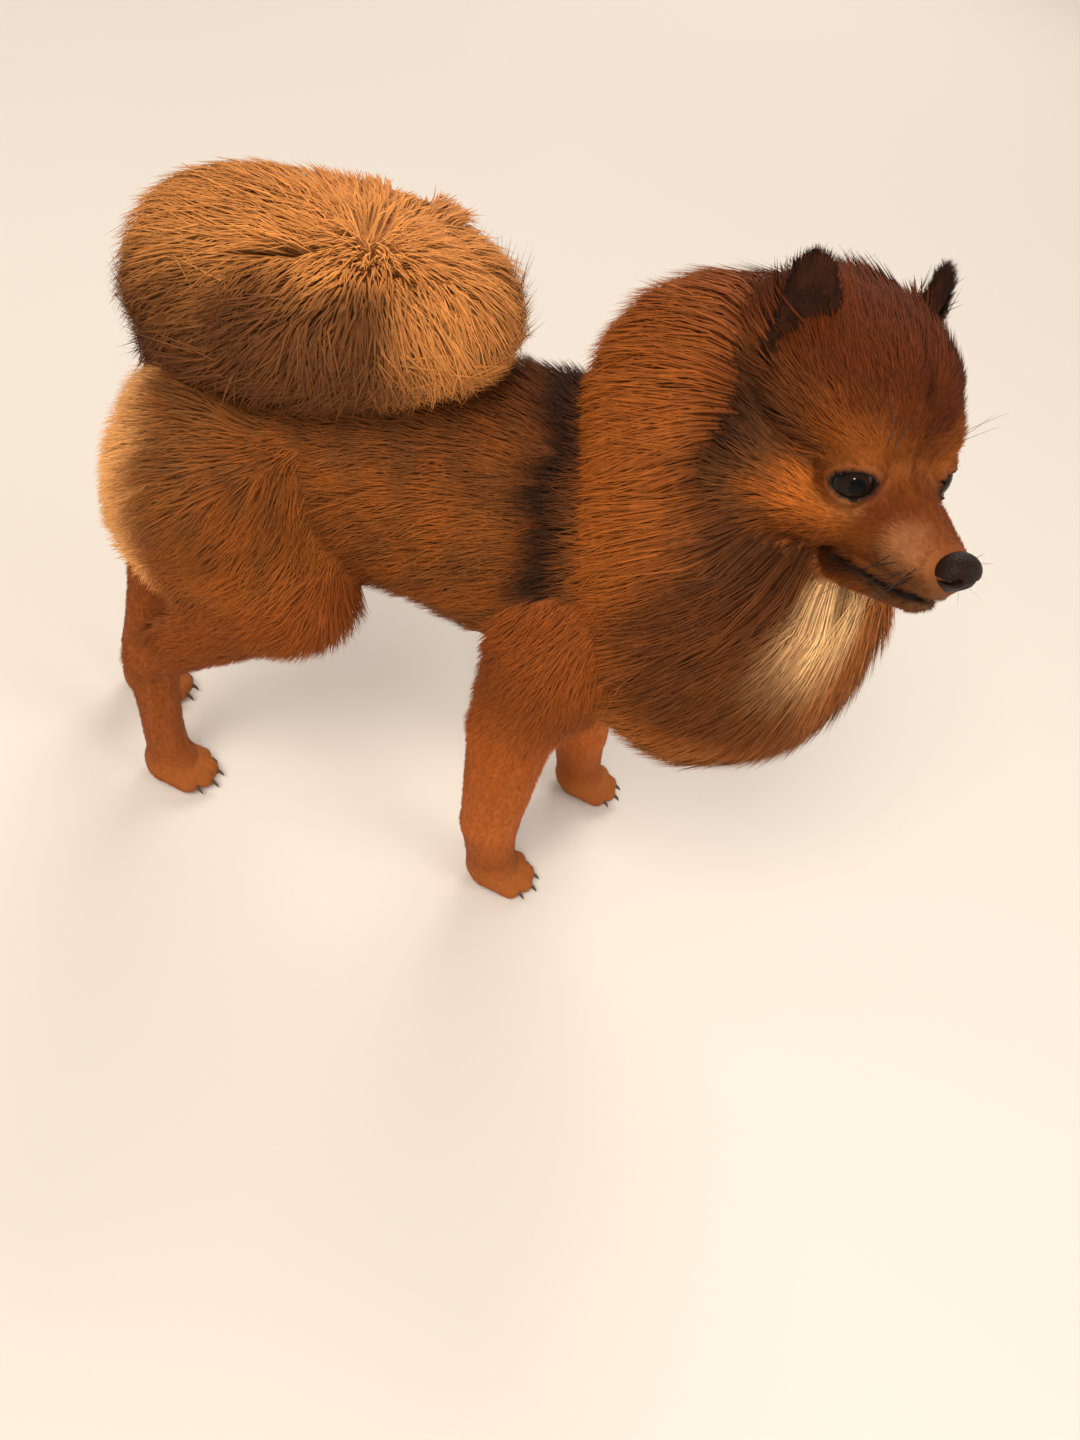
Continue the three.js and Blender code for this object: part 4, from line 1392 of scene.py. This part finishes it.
def make_whiskers(count):
    """Whiskers on both sides of the muzzle, and every fifth hair over an eye"""
    rng = np.random.default_rng(SEEDS["whiskers"])
    start, aim = [], []
    for i in range(count):
        out = -1 if i % 2 else 1
        if i % 5 == 4:
            start.append((rng.uniform(0, 6), out * rng.uniform(10, 16), rng.uniform(12, 16)))
            aim.append((0.5, out * 0.5, 1.0))
        else:
            start.append((rng.uniform(22, 34), out * 9.5, rng.uniform(-22, -15)))
            aim.append((rng.uniform(-0.3, 0.5), out, rng.uniform(-0.7, 0.1)))

    def bare_face(q):
        return smooth_min(face(q), jaw(q), 4)

    h = np.array(start)
    h = h - gradient(bare_face, h) * bare_face(h)[:, None]
    v = unit(np.array(aim)) + rng.normal(size=(count, 3)) * 0.1
    long = rng.uniform(16, 30, count)[:, None]
    path = [h - v * 1.5]
    for share, droop in ((0.35, 0), (0.7, 0.4), (1, 1)):
        path.append(h + v * long * share + WHISKER_DROOP * long * droop)
    width = np.full(count, WHISKER_WIDTH)
    dark = np.tile(palette().black * 0.8, (count, 1))
    material, _, _ = plain_material("whisker", (0.015, 0.011, 0.009), 0.4)
    flat = np.tile((0.0, 0.0, 1.0), (count, 1))
    strands("whiskers", [in_dog(q) for q in path], [width, width * 0.8, width * 0.5], flat,
            (dark, dark), np.full(count, HEAD), "coat", material)


# The photo's camera, in the dog's frame
CAMERA_PLACE = np.array((32.5, -382.5, 490.0))
CAMERA_RIGHT = np.array((0.9537, 0.1529, 0.2594))
CAMERA_DOWN = np.array((0.2890, -0.7072, -0.6453))
CAMERA_FORWARD = np.array((0.0848, 0.6904, -0.7185))
LENS = 27
SENSOR = 36

# The floor's side, in metres
FLOOR_SIZE = 16

# Soft lights, in metres: name, place, aim, size, power and colour. The last is small, for a glint in the eye.
LIGHTS = (
    ("key", (-0.5, -1.1, 1.7), (0.02, 0, 0.2), 0.9, 27, (1.0, 0.92, 0.82)),
    ("fill", (1.7, -0.6, 1.1), (0.05, 0, 0.2), 1.2, 12, (1.0, 0.95, 0.9)),
    ("back", (0.1, 3.2, 3.0), (0, 0.5, 0.1), 2.4, 80, (1.0, 0.93, 0.85)),
    ("catch", (CAMERA_PLACE + SHIFT - 20 * CAMERA_FORWARD + 110 * CAMERA_DOWN) / 1000,
     in_dog((0, 0, 0)) / 1000, 0.04, 0.5, (1.0, 0.95, 0.88)),
)


def make_floor(colour):
    """A plain pale floor"""
    bpy.ops.mesh.primitive_plane_add(size=FLOOR_SIZE)
    floor = bpy.context.object
    floor.name = "floor"
    material, _, _ = plain_material("floor_pale", colour, 0.8)
    floor.data.materials.append(material)


def make_lights():
    """Soft studio lights and a pale world"""
    for name, place, aim, size, power, colour in LIGHTS:
        light = bpy.data.lights.new(name, "AREA")
        light.shape = "DISK"
        light.size = size
        light.energy = power
        light.color = colour
        obj = link(name, light)
        obj.location = place
        obj.rotation_euler = (Vector(aim) - Vector(place)).to_track_quat("-Z", "Y").to_euler()
    world = bpy.data.worlds.new("studio")
    world.use_nodes = True
    set_inputs(world.node_tree.nodes["Background"], Color=(0.95, 0.9, 0.84, 1), Strength=0.55)
    bpy.context.scene.world = world
    bpy.context.scene.view_settings.view_transform = "Standard"


def make_camera():
    """The photo's view, without depth of field"""
    data = bpy.data.cameras.new("photo_view")
    data.lens = LENS
    data.sensor_width = SENSOR
    data.clip_start = 0.01
    camera = link("photo_view", data)
    turn = Matrix(np.stack([CAMERA_RIGHT, -CAMERA_DOWN, -CAMERA_FORWARD], 1).tolist()).to_4x4()
    camera.matrix_world = Matrix.Translation(Vector((CAMERA_PLACE + SHIFT) / 1000)) @ turn
    bpy.context.scene.camera = camera


# The add-on
def count_property(name, description, default, least=100):
    """How many of something the coat has"""
    return IntProperty(name=name, description=description, default=default, min=least)


def length_property(name, description, default):
    """A length in metres"""
    return FloatProperty(name=name, description=description, default=default, min=0.001, unit="LENGTH")


class DogSettings(bpy.types.PropertyGroup):
    """The sizes, counts and colours that a user would change"""
    body_tufts: count_property("Body tufts", "Blades of fur on the trunk and legs", 99000)
    ruff_tufts: count_property("Ruff tufts", "Strands in the ruff", 48000)
    tail_tufts: count_property("Tail tufts", "Strands in the tail", 28000)
    head_tufts: count_property("Head tufts", "Blades and strands on the head", 42000)
    ear_tufts: count_property("Ear tufts", "Blades of velvet on the ears", 9000)
    whiskers: count_property("Whiskers", "Whiskers and long hairs over the eyes", 26, 2)
    ruff_length: length_property("Ruff hair", "Mean length of the ruff's hair", 0.046)
    tail_length: length_property("Tail hair", "Mean length of the tail's hair", 0.044)
    claw_length: length_property("Claw", "Length of each claw", CLAW_LENGTH / 1000)
    floor: FloatVectorProperty(name="Floor", description="Colour of the floor", subtype="COLOR",
                               default=(0.72, 0.66, 0.60), min=0, max=1)


for shade, (value, used_on) in PALETTE.items():
    DogSettings.__annotations__[shade] = FloatVectorProperty(
        name=shade.capitalize(), description=used_on, subtype="COLOR", default=tuple(rgb(value)),
        min=0, max=1)


class DOG_OT_skin(bpy.types.Operator):
    """Make the skin that stands for the trunk, head, ears, legs and tail"""
    bl_idname = "dog.skin"
    bl_label = "Skin"

    def execute(self, context):
        make_skin()
        return {"FINISHED"}


class DOG_OT_body_coat(bpy.types.Operator):
    """Set short fur on the trunk, thighs and legs"""
    bl_idname = "dog.body_coat"
    bl_label = "Body coat"

    def execute(self, context):
        make_body_coat(context.scene.dog.body_tufts)
        return {"FINISHED"}


class DOG_OT_ruff(bpy.types.Operator):
    """Set long hair on the ruff"""
    bl_idname = "dog.ruff"
    bl_label = "Ruff"

    def execute(self, context):
        s = context.scene.dog
        make_long_coat("ruff", RUFF, ruff, ruff_lie, s.ruff_tufts, "ruff", DEPTH["ruff"],
                       s.ruff_length * 1000, ragged=2.4, clump=12.0, hold=0.6)
        return {"FINISHED"}


class DOG_OT_tail(bpy.types.Operator):
    """Set long hair round the tail's whorl"""
    bl_idname = "dog.tail"
    bl_label = "Tail"

    def execute(self, context):
        s = context.scene.dog
        make_long_coat("tail", TAIL, tail, tail_lie, s.tail_tufts, "plume", DEPTH["tail"],
                       s.tail_length * 1000, ragged=3.4, clump=10.0, hold=0.4)
        return {"FINISHED"}


class DOG_OT_head_coat(bpy.types.Operator):
    """Set fur on the head and velvet on the ears"""
    bl_idname = "dog.head_coat"
    bl_label = "Head and ears"

    def execute(self, context):
        make_head_coat(context.scene.dog.head_tufts)
        make_ear_coat(context.scene.dog.ear_tufts)
        return {"FINISHED"}


class DOG_OT_features(bpy.types.Operator):
    """Make the eyes, nose, claws and whiskers"""
    bl_idname = "dog.features"
    bl_label = "Eyes, nose, claws and whiskers"

    def execute(self, context):
        make_eyes()
        make_nose()
        make_claws(context.scene.dog.claw_length * 1000)
        make_whiskers(context.scene.dog.whiskers)
        return {"FINISHED"}


class DOG_OT_stage(bpy.types.Operator):
    """Make the floor, the lights and the camera"""
    bl_idname = "dog.stage"
    bl_label = "Stage"

    def execute(self, context):
        make_floor(context.scene.dog.floor)
        make_lights()
        make_camera()
        return {"FINISHED"}


STEPS = (DOG_OT_skin, DOG_OT_body_coat, DOG_OT_ruff, DOG_OT_tail, DOG_OT_head_coat, DOG_OT_features,
         DOG_OT_stage)


class DOG_PT_panel(bpy.types.Panel):
    """Lists the settings and the steps"""
    bl_label = "Pomeranian"
    bl_idname = "DOG_PT_panel"
    bl_space_type = "VIEW_3D"
    bl_region_type = "UI"
    bl_category = "Dog"

    def draw(self, context):
        for name in DogSettings.__annotations__:
            self.layout.prop(context.scene.dog, name)
        for step in STEPS:
            self.layout.operator(step.bl_idname)


def register():
    for c in (DogSettings, *STEPS, DOG_PT_panel):
        bpy.utils.register_class(c)
    bpy.types.Scene.dog = PointerProperty(type=DogSettings)


def unregister():
    del bpy.types.Scene.dog
    for c in reversed((DogSettings, *STEPS, DOG_PT_panel)):
        bpy.utils.unregister_class(c)


def main():
    register()
    bpy.ops.dog.skin()
    bpy.ops.dog.body_coat()
    bpy.ops.dog.ruff()
    bpy.ops.dog.tail()
    bpy.ops.dog.head_coat()
    bpy.ops.dog.features()
    bpy.ops.dog.stage()


if __name__ == "__main__":
    main()
